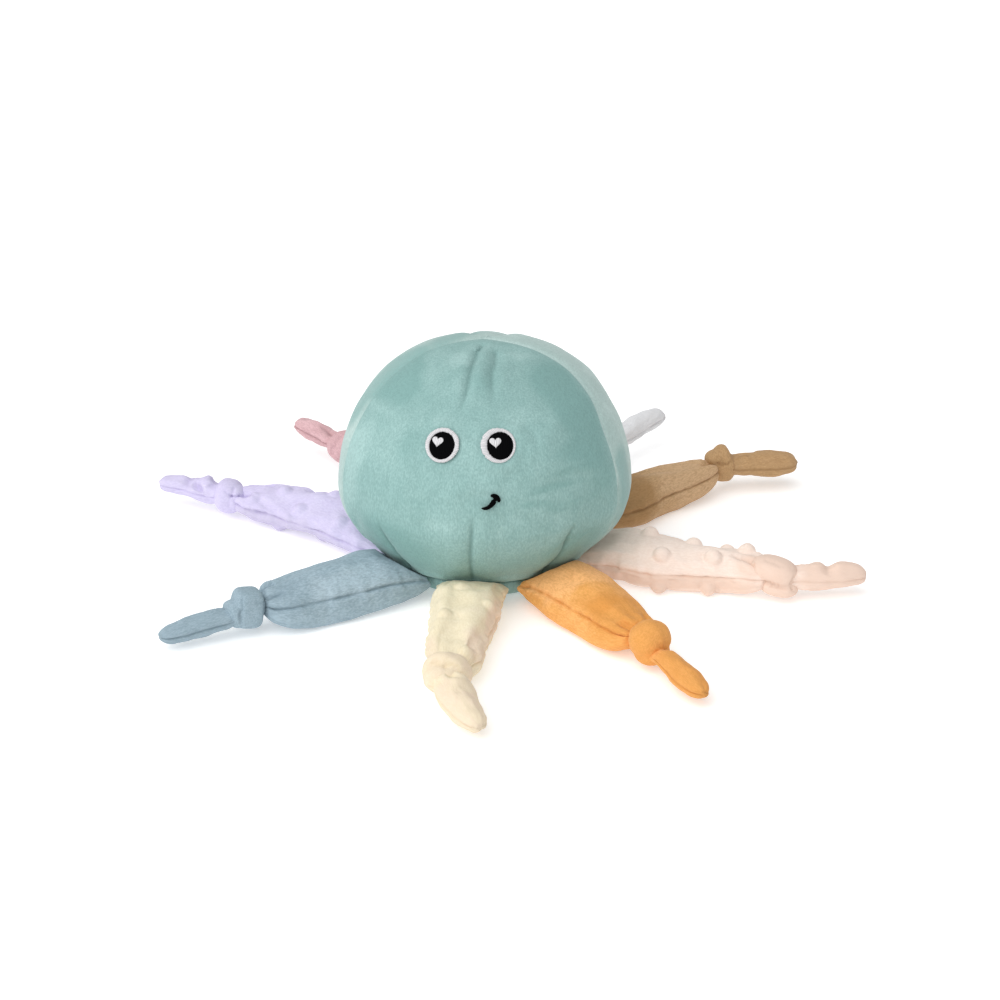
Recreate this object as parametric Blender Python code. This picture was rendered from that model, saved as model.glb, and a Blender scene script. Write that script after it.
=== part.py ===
"""Plush octopus: a round stuffed head on a flat base, with eight knotted arms of different cloths.

Metres, +Z up, the face towards -Y. The origin is on the floor, under the middle of the flat base.
Every arm is two cloth panels round a stuffing, then a knot, then a short tail. It turns at the seam
that holds it under the head, and its tail turns at the knot.
"""

import math
from typing import NamedTuple

import bmesh
import bpy
from mathutils import Vector

# Cloth and seams
CLOTH = 0.0015
GAP = 0.0003
STITCH_HEIGHT = 0.0010
MERGE_SHARE = 0.01
SHARP_ANGLE = math.radians(50)

# Head and base
HEAD_WIDTH = 0.1566
HEAD_HEIGHT = 0.1267
WIDEST_HEIGHT = 0.0503
SEAM_RADIUS = 0.0500
SEAM_HEIGHT = 0.0115
BASE_ROUND = 0.0070
CROWN_HOLE_RADIUS = 0.0012
UPPER_HEIGHT_POWER = 2.12
UPPER_WIDTH_POWER = 2.35
LOWER_HEIGHT_POWER = 1.62
LOWER_WIDTH_POWER = 1.35
FRONT_PANEL_ARC = math.radians(140)

# Face
FACE_TURN = math.radians(-90)
EYE_HEIGHT = 0.0964
EYE_PITCH = 0.0280
EYE_WIDTH = 0.0184
EYE_TALLNESS = 0.0191
PUPIL_WIDTH = 0.0134
PUPIL_TALLNESS = 0.0142
RIGHT_PUPIL_SHIFT = 0.0010
HEART_WIDTH = 0.0056
HEART_OFFSET = 0.0021
HEART_REACH_SHARE = 0.46
HEART_LOBE_SHARE = 0.10
HEART_NOTCH_SHARE = 0.12
HEART_SQUASH_SHARE = 0.95
MOUTH_WIDTH = 0.0095
MOUTH_HEIGHT = 0.0710
MOUTH_SIDE_OFFSET = 0.0112

# Arms
ARM_REACH = 0.1500
ARM_WIDTH = 0.0440
ARM_TOP = 0.0245
ARM_SEAM_HEIGHT = 0.0110
NECK_WIDTH = 0.0150
NECK_THICKNESS = 0.0120
ROOT_PIVOT = 0.0020
ROOT_EDGE_HALF = 0.0009
ARM_LIFT_LIMIT = math.radians(10)
LIFT_MARGIN = math.radians(3)
ARM_COUNT = 8

# Knots and tails
KNOT_RADIUS = 0.0110
KNOT_LOBE_SHARE = 0.10
TAIL_LENGTH = 0.0430
TAIL_WIDTH = 0.0160
TAIL_THICKNESS = 0.0120

# How finely the shapes are divided
HEAD_STEPS = 32
UPPER_RINGS = 9
LOWER_RINGS = 5
BASE_ROUND_STEPS = 3
ROUND_STEPS = 20
ARM_ARC_STEPS = 6
TAIL_SIDES = 10
SLOPE_STEP_SHARE = 0.001
WALK_STEPS = 8

# Along an arm, from the sewn root to the knot: place, width and how far it has filled out
ARM_PLACE_SHARES = (0.0, 0.025, 0.10, 0.20, 0.33, 0.50, 0.66, 0.81, 0.93, 1.0)
ARM_WIDTH_SHARES = (1.0, 1.0, 1.02, 1.04, 1.03, 1.0, 0.97, 0.93, 0.78, 0.0)
ARM_FILL_SHARES = (0.0, 0.03, 0.42, 0.80, 0.97, 1.0, 1.0, 0.98, 0.82, 0.0)
ARM_OWN_WIDTH_SHARES = (0.0, 0.15, 0.60, 0.95, 1.0, 1.0, 1.0, 1.0, 1.0, 1.0)
SEAM_LEVEL_SHARE = 0.33
SEAM_CLIMB_SHARE = 0.5
# Where along an arm its bends are given
BEND_PLACE_SHARES = (0.0, 0.25, 0.45, 0.65, 0.85, 1.0)
# Where the stuffing's points lie between the places on either side of them
STUFFING_ROOT_SHARE = 0.3
STUFFING_KNOT_SHARE = 0.5
# Along a tail, from the knot to the tip
TAIL_PLACE_SHARES = (0.0, 0.035, 0.13, 0.30, 0.50, 0.70, 0.86, 0.965, 1.0)
TAIL_FULL_SHARES = (0.0, 0.50, 0.80, 1.0, 1.0, 0.93, 0.82, 0.52, 0.0)

# The smile and the stitch across its end, as shares of its width about its middle
MOUTH_OUTLINE_SHARES = (
    (-0.50, -0.37),
    (-0.30, -0.42),
    (-0.05, -0.38),
    (0.16, -0.28),
    (0.31, -0.11),
    (0.34, -0.01),
    (0.44, -0.08),
    (0.50, -0.04),
    (0.50, 0.16),
    (0.41, 0.32),
    (0.25, 0.41),
    (0.07, 0.39),
    (-0.01, 0.29),
    (0.11, 0.19),
    (0.18, 0.07),
    (0.07, -0.07),
    (-0.18, -0.23),
)


class Arm(NamedTuple):
    """One arm: its cloth, and where its root, knot and tail point. Turns are in degrees about +Z.

    Bends are how far the arm lies to the left of its plain curve at BEND_PLACE_SHARES, in metres.
    """

    name: str
    colour: tuple
    root_turn: float
    knot_turn: float
    knot_reach_share: float
    knot_heading: float
    tail_heading: float
    tip_heading: float
    knot_height_share: float
    tip_height_share: float
    width_share: float
    tail_length_share: float
    bends: tuple


ARMS = (
    Arm(
        "cream", (0.90, 0.84, 0.62), -90, -91.0, 1.01, -99, -66, -50, 1.10, 0.75, 0.90, 0.98,
        (0, -0.0018, -0.0020, -0.0022, -0.0010, 0),
    ),
    Arm("orange", (0.87, 0.50, 0.16), -45, -49.5, 0.98, -52, -56, -57, 1.20, 0.75, 0.92, 1.05, (0, 0, 0, 0, 0, 0)),
    Arm(
        "pink", (0.90, 0.78, 0.73), 0, -10.0, 1.08, -14, 2, 24, 1.15, 1.25, 0.95, 0.88,
        (0, -0.0040, -0.0070, -0.0025, 0.0040, 0),
    ),
    Arm(
        "tan", (0.66, 0.51, 0.36), 45, 40.5, 1.11, 46, 12, 10, 1.45, 1.35, 0.98, 0.84,
        (0, -0.0045, -0.0065, -0.0010, 0.0005, 0),
    ),
    Arm("white", (0.83, 0.83, 0.85), 90, 66.8, 0.96, 52, 58, 52, 1.20, 1.50, 0.94, 1.00, (0, 0, 0, 0, 0, 0)),
    Arm("rose", (0.71, 0.46, 0.48), 135, 131.0, 0.93, 131, 137, 141, 1.50, 1.45, 0.94, 0.98, (0, 0, 0, 0, 0, 0)),
    Arm(
        "lavender", (0.74, 0.68, 0.86), 180, 163.7, 1.03, 171, 160, 163, 1.15, 1.20, 0.95, 0.84,
        (0, -0.0024, -0.0042, -0.0020, -0.0005, 0),
    ),
    Arm("blue", (0.45, 0.58, 0.67), -135, -139.8, 0.98, -149, -149, -147, 1.25, 0.75, 0.98, 0.92, (0, 0, 0, 0, 0, 0)),
)

TEAL = (0.40, 0.62, 0.60)
STITCH_WHITE = (0.90, 0.90, 0.90)
STITCH_BLACK = (0.015, 0.015, 0.017)
FIBRE = (0.92, 0.92, 0.90)
CLOTH_ROUGHNESS = 0.95
STITCH_ROUGHNESS = 0.60


def clear_scene():
    """Removes the objects that the scene opened with."""
    for old in list(bpy.data.objects):
        bpy.data.objects.remove(old, do_unlink=True)


def material(name, colour, roughness):
    """A plain cloth, thread or filling."""
    made = bpy.data.materials.get(name) or bpy.data.materials.new(name)
    made.use_nodes = True
    shader = made.node_tree.nodes["Principled BSDF"]
    shader.inputs["Base Color"].default_value = (*colour, 1)
    shader.inputs["Roughness"].default_value = roughness
    shader.inputs["Metallic"].default_value = 0
    made.diffuse_color = (*colour, 1)
    return made


def add_object(name, bm, look, parent=None):
    """Makes the shape an object; under a parent, its own origin is the parent's place."""
    if parent is not None:
        bmesh.ops.translate(bm, vec=-parent["pivot"], verts=bm.verts)
    bmesh.ops.recalc_face_normals(bm, faces=bm.faces)
    mesh = bpy.data.meshes.new(name)
    bm.to_mesh(mesh)
    bm.free()
    mesh.shade_smooth()
    mesh.set_sharp_from_angle(angle=SHARP_ANGLE)
    mesh.materials.append(look)
    obj = bpy.data.objects.new(name, mesh)
    bpy.context.scene.collection.objects.link(obj)
    if parent is not None:
        obj.parent = parent["empty"]
    return obj


def add_pivot(name, place, parent=None):
    """An empty on a joint's axis, which carries the pieces that turn there."""
    empty = bpy.data.objects.new(name, None)
    empty.empty_display_size = KNOT_RADIUS
    bpy.context.scene.collection.objects.link(empty)
    if parent is None:
        empty.location = place
    else:
        empty.parent = parent["empty"]
        empty.location = place - parent["pivot"]
    return {"empty": empty, "pivot": place}


def turned(angle):
    """The level direction at this angle about +Z."""
    return Vector((math.cos(angle), math.sin(angle), 0))


def head_radius(height):
    """How far the head's cloth stands from the axis at this height."""
    widest = HEAD_WIDTH / 2
    if height >= WIDEST_HEIGHT:
        share = min((height - WIDEST_HEIGHT) / (HEAD_HEIGHT - WIDEST_HEIGHT), 1)
        return widest * (1 - share**UPPER_HEIGHT_POWER) ** (1 / UPPER_WIDTH_POWER)
    share = min((WIDEST_HEIGHT - height) / (WIDEST_HEIGHT - SEAM_HEIGHT), 1)
    swell = (1 - share**LOWER_HEIGHT_POWER) ** (1 / LOWER_WIDTH_POWER)
    return SEAM_RADIUS + (widest - SEAM_RADIUS) * swell


def head_outline():
    """The head's outer outline as (radius, height), from the bottom seam up to the crown."""
    points = []
    for i in range(LOWER_RINGS):
        share = 1 - i / LOWER_RINGS
        height = WIDEST_HEIGHT - (WIDEST_HEIGHT - SEAM_HEIGHT) * share
        points.append((head_radius(height), height))
    for i in range(UPPER_RINGS):
        angle = math.pi / 2 * i / UPPER_RINGS
        radius = HEAD_WIDTH / 2 * math.cos(angle) ** (2 / UPPER_WIDTH_POWER)
        rise = math.sin(angle) ** (2 / UPPER_HEIGHT_POWER)
        points.append((radius, WIDEST_HEIGHT + (HEAD_HEIGHT - WIDEST_HEIGHT) * rise))
    points.append((CROWN_HOLE_RADIUS, HEAD_HEIGHT))
    return points


def moved_in(points, depth):
    """The same outline this deep under the cloth, each point moved square to its neighbours."""
    inner = []
    last = len(points) - 1
    for i, (radius, height) in enumerate(points):
        before = points[max(i - 1, 0)]
        after = points[min(i + 1, last)]
        along = Vector((after[0] - before[0], after[1] - before[1])).normalized()
        if i == 0:
            inner.append((radius - depth, height))
        elif i == last:
            inner.append((radius, height - depth))
        else:
            inner.append((radius - along.y * depth, height + along.x * depth))
    return inner


def turn_outline(points, start, arc, steps):
    """Spins a closed (radius, height) outline about the axis, and closes the ends of a part turn."""
    bm = bmesh.new()
    verts = [bm.verts.new(turned(start) * radius + Vector((0, 0, height))) for radius, height in points]
    whole = arc >= 2 * math.pi
    for i, vert in enumerate(verts):
        following = verts[(i + 1) % len(verts)]
        if points[i][0] > 0 or points[(i + 1) % len(points)][0] > 0:
            bm.edges.new((vert, following))
    geom = bm.verts[:] + bm.edges[:]
    bmesh.ops.spin(
        bm, geom=geom, cent=(0, 0, 0), axis=(0, 0, 1), angle=arc, steps=steps, use_merge=whole
    )
    if whole:
        bmesh.ops.remove_doubles(bm, verts=bm.verts, dist=GAP * MERGE_SHARE)
    else:
        open_edges = [edge for edge in bm.edges if edge.is_boundary]
        bmesh.ops.holes_fill(bm, edges=open_edges, sides=0)
    return bm


def head_panels(look):
    """The face panel and the wider back panel, sewn from the crown down both sides."""
    outer = head_outline()
    wall = outer + moved_in(outer, CLOTH)[::-1]
    slit = GAP / (HEAD_WIDTH / 2)
    front_start = FACE_TURN - FRONT_PANEL_ARC / 2
    back_arc = 2 * math.pi - FRONT_PANEL_ARC
    front_steps = round(HEAD_STEPS * FRONT_PANEL_ARC / (2 * math.pi))
    front = turn_outline(wall, front_start, FRONT_PANEL_ARC - slit, front_steps)
    add_object("head_front_panel", front, look)
    back_start = front_start + FRONT_PANEL_ARC
    back = turn_outline(wall, back_start, back_arc - slit, HEAD_STEPS - front_steps)
    add_object("head_back_panel", back, look)


def base_panel(look):
    """The shallow dish under the head, flat where it rests on the floor."""
    foot_radius = SEAM_RADIUS - BASE_ROUND
    inner_round = BASE_ROUND - CLOTH
    outer = [(0, 0)]
    inner = [(0, CLOTH)]
    for i in range(BASE_ROUND_STEPS + 1):
        angle = math.pi / 2 * i / BASE_ROUND_STEPS
        reach = math.sin(angle)
        rise = 1 - math.cos(angle)
        outer.append((foot_radius + BASE_ROUND * reach, BASE_ROUND * rise))
        inner.append((foot_radius + inner_round * reach, CLOTH + inner_round * rise))
    rim = SEAM_HEIGHT - GAP
    outer.append((SEAM_RADIUS, rim))
    inner.append((SEAM_RADIUS - CLOTH, rim))
    add_object("base_panel", turn_outline(outer + inner[::-1], 0, 2 * math.pi, HEAD_STEPS), look)


def head_stuffing(look):
    """The fibre filling: one lump from the base panel up to the crown."""
    depth = CLOTH + GAP
    foot_radius = SEAM_RADIUS - BASE_ROUND
    inner_round = BASE_ROUND - depth
    points = [(0, depth)]
    for i in range(BASE_ROUND_STEPS + 1):
        angle = math.pi / 2 * i / BASE_ROUND_STEPS
        reach = foot_radius + inner_round * math.sin(angle)
        points.append((reach, depth + inner_round * (1 - math.cos(angle))))
    upper = moved_in(head_outline(), depth + GAP)
    points.extend(upper)
    points.append((0, upper[-1][1]))
    add_object("head_stuffing", turn_outline(points, 0, 2 * math.pi, ROUND_STEPS), look)


def head_slope(height):
    """How fast the head's radius grows with height there."""
    step = HEAD_HEIGHT * SLOPE_STEP_SHARE
    return (head_radius(height + step) - head_radius(height - step)) / (2 * step)


def on_head(turn, height, across, up, lift):
    """The point on the head's cloth this far round and up from a place, lifted off it."""
    stride = up / WALK_STEPS
    for _ in range(WALK_STEPS):
        middle = height + stride / 2 / math.hypot(1, head_slope(height))
        height += stride / math.hypot(1, head_slope(middle))
    radius = head_radius(height)
    slope = head_slope(height)
    length = math.hypot(1, slope)
    outward = turned(turn + across / radius)
    stand = (outward - Vector((0, 0, slope))) / length * lift
    return outward * radius + Vector((0, 0, height)) + stand


def heart_outline(angle):
    """A heart's edge at this angle, as shares of its width: two lobes over a point."""
    side = math.cos(angle)
    up = math.sin(angle)
    lobes = HEART_LOBE_SHARE * math.cos(2 * angle) * abs(side)
    notch = HEART_NOTCH_SHARE * up**3 * math.sqrt(1 - abs(side))
    reach = HEART_REACH_SHARE + lobes - notch
    return Vector((side * reach, up * reach * HEART_SQUASH_SHARE))


def thick_layer(bm):
    """Gives a flat unit sheet its second face, one unit above it."""
    made = bmesh.ops.extrude_face_region(bm, geom=bm.faces[:])
    raised = [item for item in made["geom"] if isinstance(item, bmesh.types.BMVert)]
    bmesh.ops.translate(bm, vec=(0, 0, 1), verts=raised)


def stitched_patch(name, bm, turn, height, flat_place, look):
    """Lays a unit-thick flat shape on the head; flat_place turns a unit point into (across, up)."""
    for vert in bm.verts:
        across, up = flat_place(vert.co)
        lift = GAP + STITCH_HEIGHT * vert.co.z
        vert.co = on_head(turn, height, across, up, lift)
    add_object(name, bm, look)


def unit_ring(steps):
    """A flat ring from radius 1 to radius 2, one unit thick."""
    bm = bmesh.new()
    bmesh.ops.create_circle(bm, cap_ends=False, segments=steps, radius=1)
    made = bmesh.ops.extrude_edge_only(bm, edges=bm.edges[:])
    outer = [item for item in made["geom"] if isinstance(item, bmesh.types.BMVert)]
    bmesh.ops.scale(bm, vec=(2, 2, 1), verts=outer)
    thick_layer(bm)
    return bm


def unit_disc(steps):
    """A flat disc of radius 1 in triangles about its middle, one unit thick."""
    bm = bmesh.new()
    bmesh.ops.create_circle(bm, cap_ends=True, cap_tris=True, segments=steps, radius=1)
    thick_layer(bm)
    return bm


def eye(side, turn, pupil_shift, white, black):
    """One embroidered eye: a white ring, a black pupil and a small white heart in it."""
    heart_middle = Vector((pupil_shift - HEART_OFFSET, HEART_OFFSET))

    def oval(angle, width, tallness, middle):
        return Vector((math.cos(angle) * width / 2, math.sin(angle) * tallness / 2)) + middle

    pupil_middle = Vector((pupil_shift, 0))

    def ring_place(co):
        angle = math.atan2(co.y, co.x)
        share = math.hypot(co.x, co.y) - 1
        inner = oval(angle, PUPIL_WIDTH + 2 * GAP, PUPIL_TALLNESS + 2 * GAP, pupil_middle)
        return inner.lerp(oval(angle, EYE_WIDTH, EYE_TALLNESS, Vector((0, 0))), share)

    def pupil_place(co):
        angle = math.atan2(co.y, co.x)
        share = math.hypot(co.x, co.y) - 1
        inner = heart_outline(angle) * (HEART_WIDTH + 2 * GAP) + heart_middle
        return inner.lerp(oval(angle, PUPIL_WIDTH, PUPIL_TALLNESS, pupil_middle), share)

    def heart_place(co):
        angle = math.atan2(co.y, co.x)
        return heart_outline(angle) * HEART_WIDTH * math.hypot(co.x, co.y) + heart_middle

    stitched_patch(f"{side}_eye_white", unit_ring(ROUND_STEPS), turn, EYE_HEIGHT, ring_place, white)
    stitched_patch(f"{side}_eye_pupil", unit_ring(ROUND_STEPS), turn, EYE_HEIGHT, pupil_place, black)
    stitched_patch(f"{side}_eye_heart", unit_disc(ROUND_STEPS), turn, EYE_HEIGHT, heart_place, white)


def mouth(black):
    """The embroidered smile, to one side of the middle, with a short stitch across its end."""
    bm = bmesh.new()
    verts = [bm.verts.new((x_share, y_share, 0)) for x_share, y_share in MOUTH_OUTLINE_SHARES]
    bm.faces.new(verts)
    bmesh.ops.triangulate(bm, faces=bm.faces)
    thick_layer(bm)
    turn = FACE_TURN + MOUTH_SIDE_OFFSET / head_radius(MOUTH_HEIGHT)

    def place(co):
        return co.xy * MOUTH_WIDTH

    stitched_patch("mouth", bm, turn, MOUTH_HEIGHT, place, black)


def root_height():
    """The middle of the flat sewn edge of an arm, just under the head's bottom seam."""
    return SEAM_HEIGHT - CLOTH - 2 * GAP


def root_place(arm):
    """The arm's hinge, on the middle of its flat sewn edge."""
    reach = SEAM_RADIUS + GAP + ROOT_PIVOT
    return turned(math.radians(arm.root_turn)) * reach + Vector((0, 0, root_height()))


def rise_limit():
    """The steepest line from the hinge that an arm's top may follow and still lift to its limit."""
    reach = SEAM_RADIUS + GAP + ROOT_PIVOT
    steepest = math.pi / 2
    for radius, height in head_outline()[1:]:
        if radius > reach and height <= WIDEST_HEIGHT:
            steepest = min(steepest, math.atan2(height - root_height(), radius - reach))
    return steepest - ARM_LIFT_LIMIT - LIFT_MARGIN


def bezier(points, share):
    """The point this far along a cubic curve, and its direction."""
    a, b, c, d = points
    rest = 1 - share
    place = a * rest**3 + b * (3 * rest**2 * share) + c * (3 * rest * share**2) + d * share**3
    along = (b - a) * rest**2 + (c - b) * (2 * rest * share) + (d - c) * share**2
    return place, along.normalized()


def curve_between(start, start_heading, end, end_heading):
    """Four points of a cubic curve that leaves and arrives in the given directions."""
    stretch = (end - start).length / 3
    return (start, start + start_heading * stretch, end - end_heading * stretch, end)


def knot_place(arm):
    """The middle of the knot."""
    reach = ARM_REACH * arm.knot_reach_share
    height = KNOT_RADIUS * arm.knot_height_share
    return turned(math.radians(arm.knot_turn)) * reach + Vector((0, 0, height))


def knot_seat():
    """How far from the knot's middle the rim of the arm's neck meets it."""
    return math.sqrt(KNOT_RADIUS**2 - (NECK_THICKNESS / 2 - CLOTH) ** 2)


def bend_at(arm, share):
    """How far to the left of its plain curve the arm lies at this share of its length."""
    for i, far in enumerate(BEND_PLACE_SHARES[1:]):
        near = BEND_PLACE_SHARES[i]
        if share <= far:
            part = (share - near) / (far - near)
            return arm.bends[i] + (arm.bends[i + 1] - arm.bends[i]) * part
    return arm.bends[-1]


def arm_stations(arm):
    """Along the arm: middle of the seam plane, level direction across, half width, top and bottom."""
    heading = turned(math.radians(arm.knot_heading))
    outward = turned(math.radians(arm.root_turn))
    knot = knot_place(arm)
    start = outward * (SEAM_RADIUS + GAP)
    end = knot - heading * (knot_seat() + GAP)
    end.z = 0
    curve = curve_between(start, outward, end, heading)
    length = (end - start).length
    root_half = (SEAM_RADIUS + GAP) * math.tan(math.pi / ARM_COUNT) - GAP
    steepness = math.tan(rise_limit())
    stations = []
    rows = zip(ARM_PLACE_SHARES, ARM_WIDTH_SHARES, ARM_FILL_SHARES, ARM_OWN_WIDTH_SHARES)
    for place_share, width_share, fill, own in rows:
        middle, along = bezier(curve, place_share)
        near_knot = max(0, (place_share - SEAM_CLIMB_SHARE) / (1 - SEAM_CLIMB_SHARE)) ** 3
        wide = ARM_WIDTH / 2 * arm.width_share * width_share + NECK_WIDTH / 2 * (1 - width_share)
        half_width = root_half * (1 - own) + wide * own
        root_share = max(0, 1 - place_share / SEAM_LEVEL_SHARE)
        flat_height = root_height() * root_share + ARM_SEAM_HEIGHT * (1 - root_share)
        seam = flat_height * (1 - near_knot) + knot.z * near_knot
        thin = ROOT_EDGE_HALF if place_share == 0 else CLOTH + GAP / 2
        edge = thin * (1 - near_knot) + NECK_THICKNESS / 2 * near_knot
        clear_top = root_height() + max(place_share * length - ROOT_PIVOT, 0) * steepness
        top = min(max(ARM_TOP * fill + seam * (1 - fill), seam + edge), max(clear_top, seam + edge))
        bottom = min(seam * (1 - fill), seam - edge)
        across = Vector((-along.y, along.x, 0))
        middle += across * bend_at(arm, place_share)
        stations.append((middle + Vector((0, 0, seam)), across, half_width, top - seam, seam - bottom))
    return stations


def arm_panel(name, stations, side, look, parent):
    """One cloth half of an arm, over the top (side 1) or under it (side -1)."""
    bm = bmesh.new()
    rows = len(stations) - 1
    bmesh.ops.create_grid(bm, x_segments=ARM_ARC_STEPS, y_segments=rows, size=1)
    thick_layer(bm)
    for vert in bm.verts:
        angle = math.pi * (vert.co.x + 1) / 2
        middle, across, half_width, above, below = stations[round((vert.co.y + 1) / 2 * rows)]
        deep = above if side > 0 else below
        inset = CLOTH * (1 - vert.co.z)
        reach = math.cos(angle) * (half_width - inset)
        rise = GAP / 2 + math.sin(angle) * max(deep - GAP / 2 - inset, 0)
        vert.co = middle + across * reach + Vector((0, 0, side * rise))
    add_object(name, bm, look, parent)


def arm_stuffing(name, stations, look, parent):
    """The fibre inside the two panels, pointed where they close at the root and at the knot."""
    rings = stations[3:-1]
    root_tip = stations[2][0].lerp(stations[3][0], STUFFING_ROOT_SHARE)
    knot_tip = stations[-2][0].lerp(stations[-1][0], STUFFING_KNOT_SHARE)
    bm = bmesh.new()
    rows = len(rings) + 1
    bmesh.ops.create_uvsphere(bm, u_segments=2 * ARM_ARC_STEPS, v_segments=rows, radius=1)
    inset = CLOTH + 2 * GAP
    for vert in bm.verts:
        row = round(math.acos(max(-1, min(1, vert.co.z))) / math.pi * rows)
        if row in (0, rows):
            vert.co = root_tip if row == 0 else knot_tip
            continue
        middle, across, half_width, above, below = rings[row - 1]
        angle = math.atan2(vert.co.y, vert.co.x)
        deep = above if angle > 0 else below
        rise = math.sin(angle) * (deep - GAP / 2 - inset)
        vert.co = middle + across * math.cos(angle) * (half_width - inset) + Vector((0, 0, rise))
    add_object(name, bm, look, parent)


def knot(name, arm, look, parent):
    """The tied ball of cloth, with two shallow lobes round it."""
    bm = bmesh.new()
    bmesh.ops.create_uvsphere(bm, u_segments=2 * ARM_ARC_STEPS, v_segments=ARM_ARC_STEPS, radius=1)
    along = turned(math.radians(arm.knot_heading))
    across = Vector((-along.y, along.x, 0))
    for vert in bm.verts:
        polar = math.acos(max(-1, min(1, vert.co.z)))
        angle = math.atan2(vert.co.y, vert.co.x)
        lobe = KNOT_LOBE_SHARE * math.sin(polar) ** 2 * (1 + math.cos(2 * angle + polar)) / 2
        spot = vert.co * KNOT_RADIUS * (1 - lobe)
        vert.co = knot_place(arm) + along * spot.z + across * spot.x + Vector((0, 0, spot.y))
    add_object(name, bm, look, parent)


def tail(name, arm, look, parent):
    """The free end beyond the knot, swelling and then rounding off."""
    start_heading = turned(math.radians(arm.tail_heading))
    tip_heading = turned(math.radians(arm.tip_heading))
    middle = knot_place(arm)
    start = middle + start_heading * (KNOT_RADIUS + GAP)
    chord = (start_heading + tip_heading).normalized()
    tip = start + chord * TAIL_LENGTH * arm.tail_length_share
    tip.z = KNOT_RADIUS * arm.tip_height_share
    curve = curve_between(start, start_heading, tip, tip_heading)
    rows = len(TAIL_PLACE_SHARES) - 1
    bm = bmesh.new()
    bmesh.ops.create_uvsphere(bm, u_segments=TAIL_SIDES, v_segments=rows, radius=1)
    for vert in bm.verts:
        row = round(math.acos(max(-1, min(1, vert.co.z))) / math.pi * rows)
        spot, along = bezier(curve, TAIL_PLACE_SHARES[row])
        full = TAIL_FULL_SHARES[row]
        across = Vector((-along.y, along.x, 0)).normalized()
        angle = math.atan2(vert.co.y, vert.co.x) if 0 < row < rows else 0
        reach = math.cos(angle) * TAIL_WIDTH / 2 * full
        rise = math.sin(angle) * TAIL_THICKNESS / 2 * full
        vert.co = spot + across * reach + Vector((0, 0, rise))
    bmesh.ops.remove_doubles(bm, verts=bm.verts, dist=GAP * MERGE_SHARE)
    add_object(name, bm, look, parent)


def add_arm(arm, fibre):
    """One arm with its hinge under the head, and its tail with its hinge in the knot."""
    look = material(f"{arm.name}_cloth", arm.colour, CLOTH_ROUGHNESS)
    stations = arm_stations(arm)
    root = add_pivot(f"{arm.name}_arm_pivot", root_place(arm))
    arm_panel(f"{arm.name}_arm_upper_panel", stations, 1, look, root)
    arm_panel(f"{arm.name}_arm_lower_panel", stations, -1, look, root)
    arm_stuffing(f"{arm.name}_arm_stuffing", stations, fibre, root)
    knot(f"{arm.name}_knot", arm, look, root)
    end = add_pivot(f"{arm.name}_tail_pivot", knot_place(arm), root)
    tail(f"{arm.name}_tail", arm, look, end)


def main():
    clear_scene()
    teal = material("teal_cloth", TEAL, CLOTH_ROUGHNESS)
    fibre = material("stuffing_fibre", FIBRE, CLOTH_ROUGHNESS)
    white = material("white_thread", STITCH_WHITE, STITCH_ROUGHNESS)
    black = material("black_thread", STITCH_BLACK, STITCH_ROUGHNESS)
    head_panels(teal)
    base_panel(teal)
    head_stuffing(fibre)
    eye_turn = EYE_PITCH / 2 / head_radius(EYE_HEIGHT)
    eye("left", FACE_TURN - eye_turn, 0, white, black)
    eye("right", FACE_TURN + eye_turn, RIGHT_PUPIL_SHIFT, white, black)
    mouth(black)
    for arm in ARMS:
        add_arm(arm, fibre)


main()
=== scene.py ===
"""Plush octopus: a round stuffed head on a flat base, eight knotted arms and an embroidered face.

Everything is in metres, +Z up, with the face towards -Y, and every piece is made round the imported
solids. A stuffed piece starts as a drawn shape, is puffed up as cloth, and then gets its seams,
folds, raised dots and pile.
"""

import math
from typing import NamedTuple

import bmesh
import bpy
import numpy as np
from bpy.props import FloatProperty, FloatVectorProperty, PointerProperty
from mathutils import Matrix, Vector


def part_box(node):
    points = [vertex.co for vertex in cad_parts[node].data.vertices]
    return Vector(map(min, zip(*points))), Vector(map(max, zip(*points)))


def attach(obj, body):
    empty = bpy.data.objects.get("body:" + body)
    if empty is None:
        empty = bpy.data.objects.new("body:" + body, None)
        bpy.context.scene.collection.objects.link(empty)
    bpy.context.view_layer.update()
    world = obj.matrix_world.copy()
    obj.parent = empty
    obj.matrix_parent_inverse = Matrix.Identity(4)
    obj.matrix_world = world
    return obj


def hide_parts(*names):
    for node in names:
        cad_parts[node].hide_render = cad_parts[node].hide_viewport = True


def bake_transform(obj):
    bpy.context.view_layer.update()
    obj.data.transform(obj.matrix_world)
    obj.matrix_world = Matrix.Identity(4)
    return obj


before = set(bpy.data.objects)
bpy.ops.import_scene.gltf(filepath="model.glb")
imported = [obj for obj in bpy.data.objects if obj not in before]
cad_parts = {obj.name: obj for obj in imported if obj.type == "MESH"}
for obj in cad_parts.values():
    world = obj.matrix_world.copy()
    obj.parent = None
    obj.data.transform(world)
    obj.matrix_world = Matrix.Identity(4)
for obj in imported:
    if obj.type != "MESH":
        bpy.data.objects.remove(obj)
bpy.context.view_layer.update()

bl_info = {
    "name": "Plush octopus",
    "version": (1, 0, 0),
    "blender": (4, 5, 0),
    "location": "View3D > Sidebar > Octopus",
    "description": "Builds a stuffed octopus with knotted arms of eight cloths and an embroidered face",
    "category": "Add Mesh",
}

MM = 0.001


# ---- Sizes and colours that a user would change ----


def length(name, description, default):
    return FloatProperty(name=name, description=description, default=default, min=0, unit="LENGTH", precision=4)


def colour(name, description, default):
    return FloatVectorProperty(
        name=name, description=description, default=default, size=3, min=0, max=1, subtype="COLOR"
    )


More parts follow.
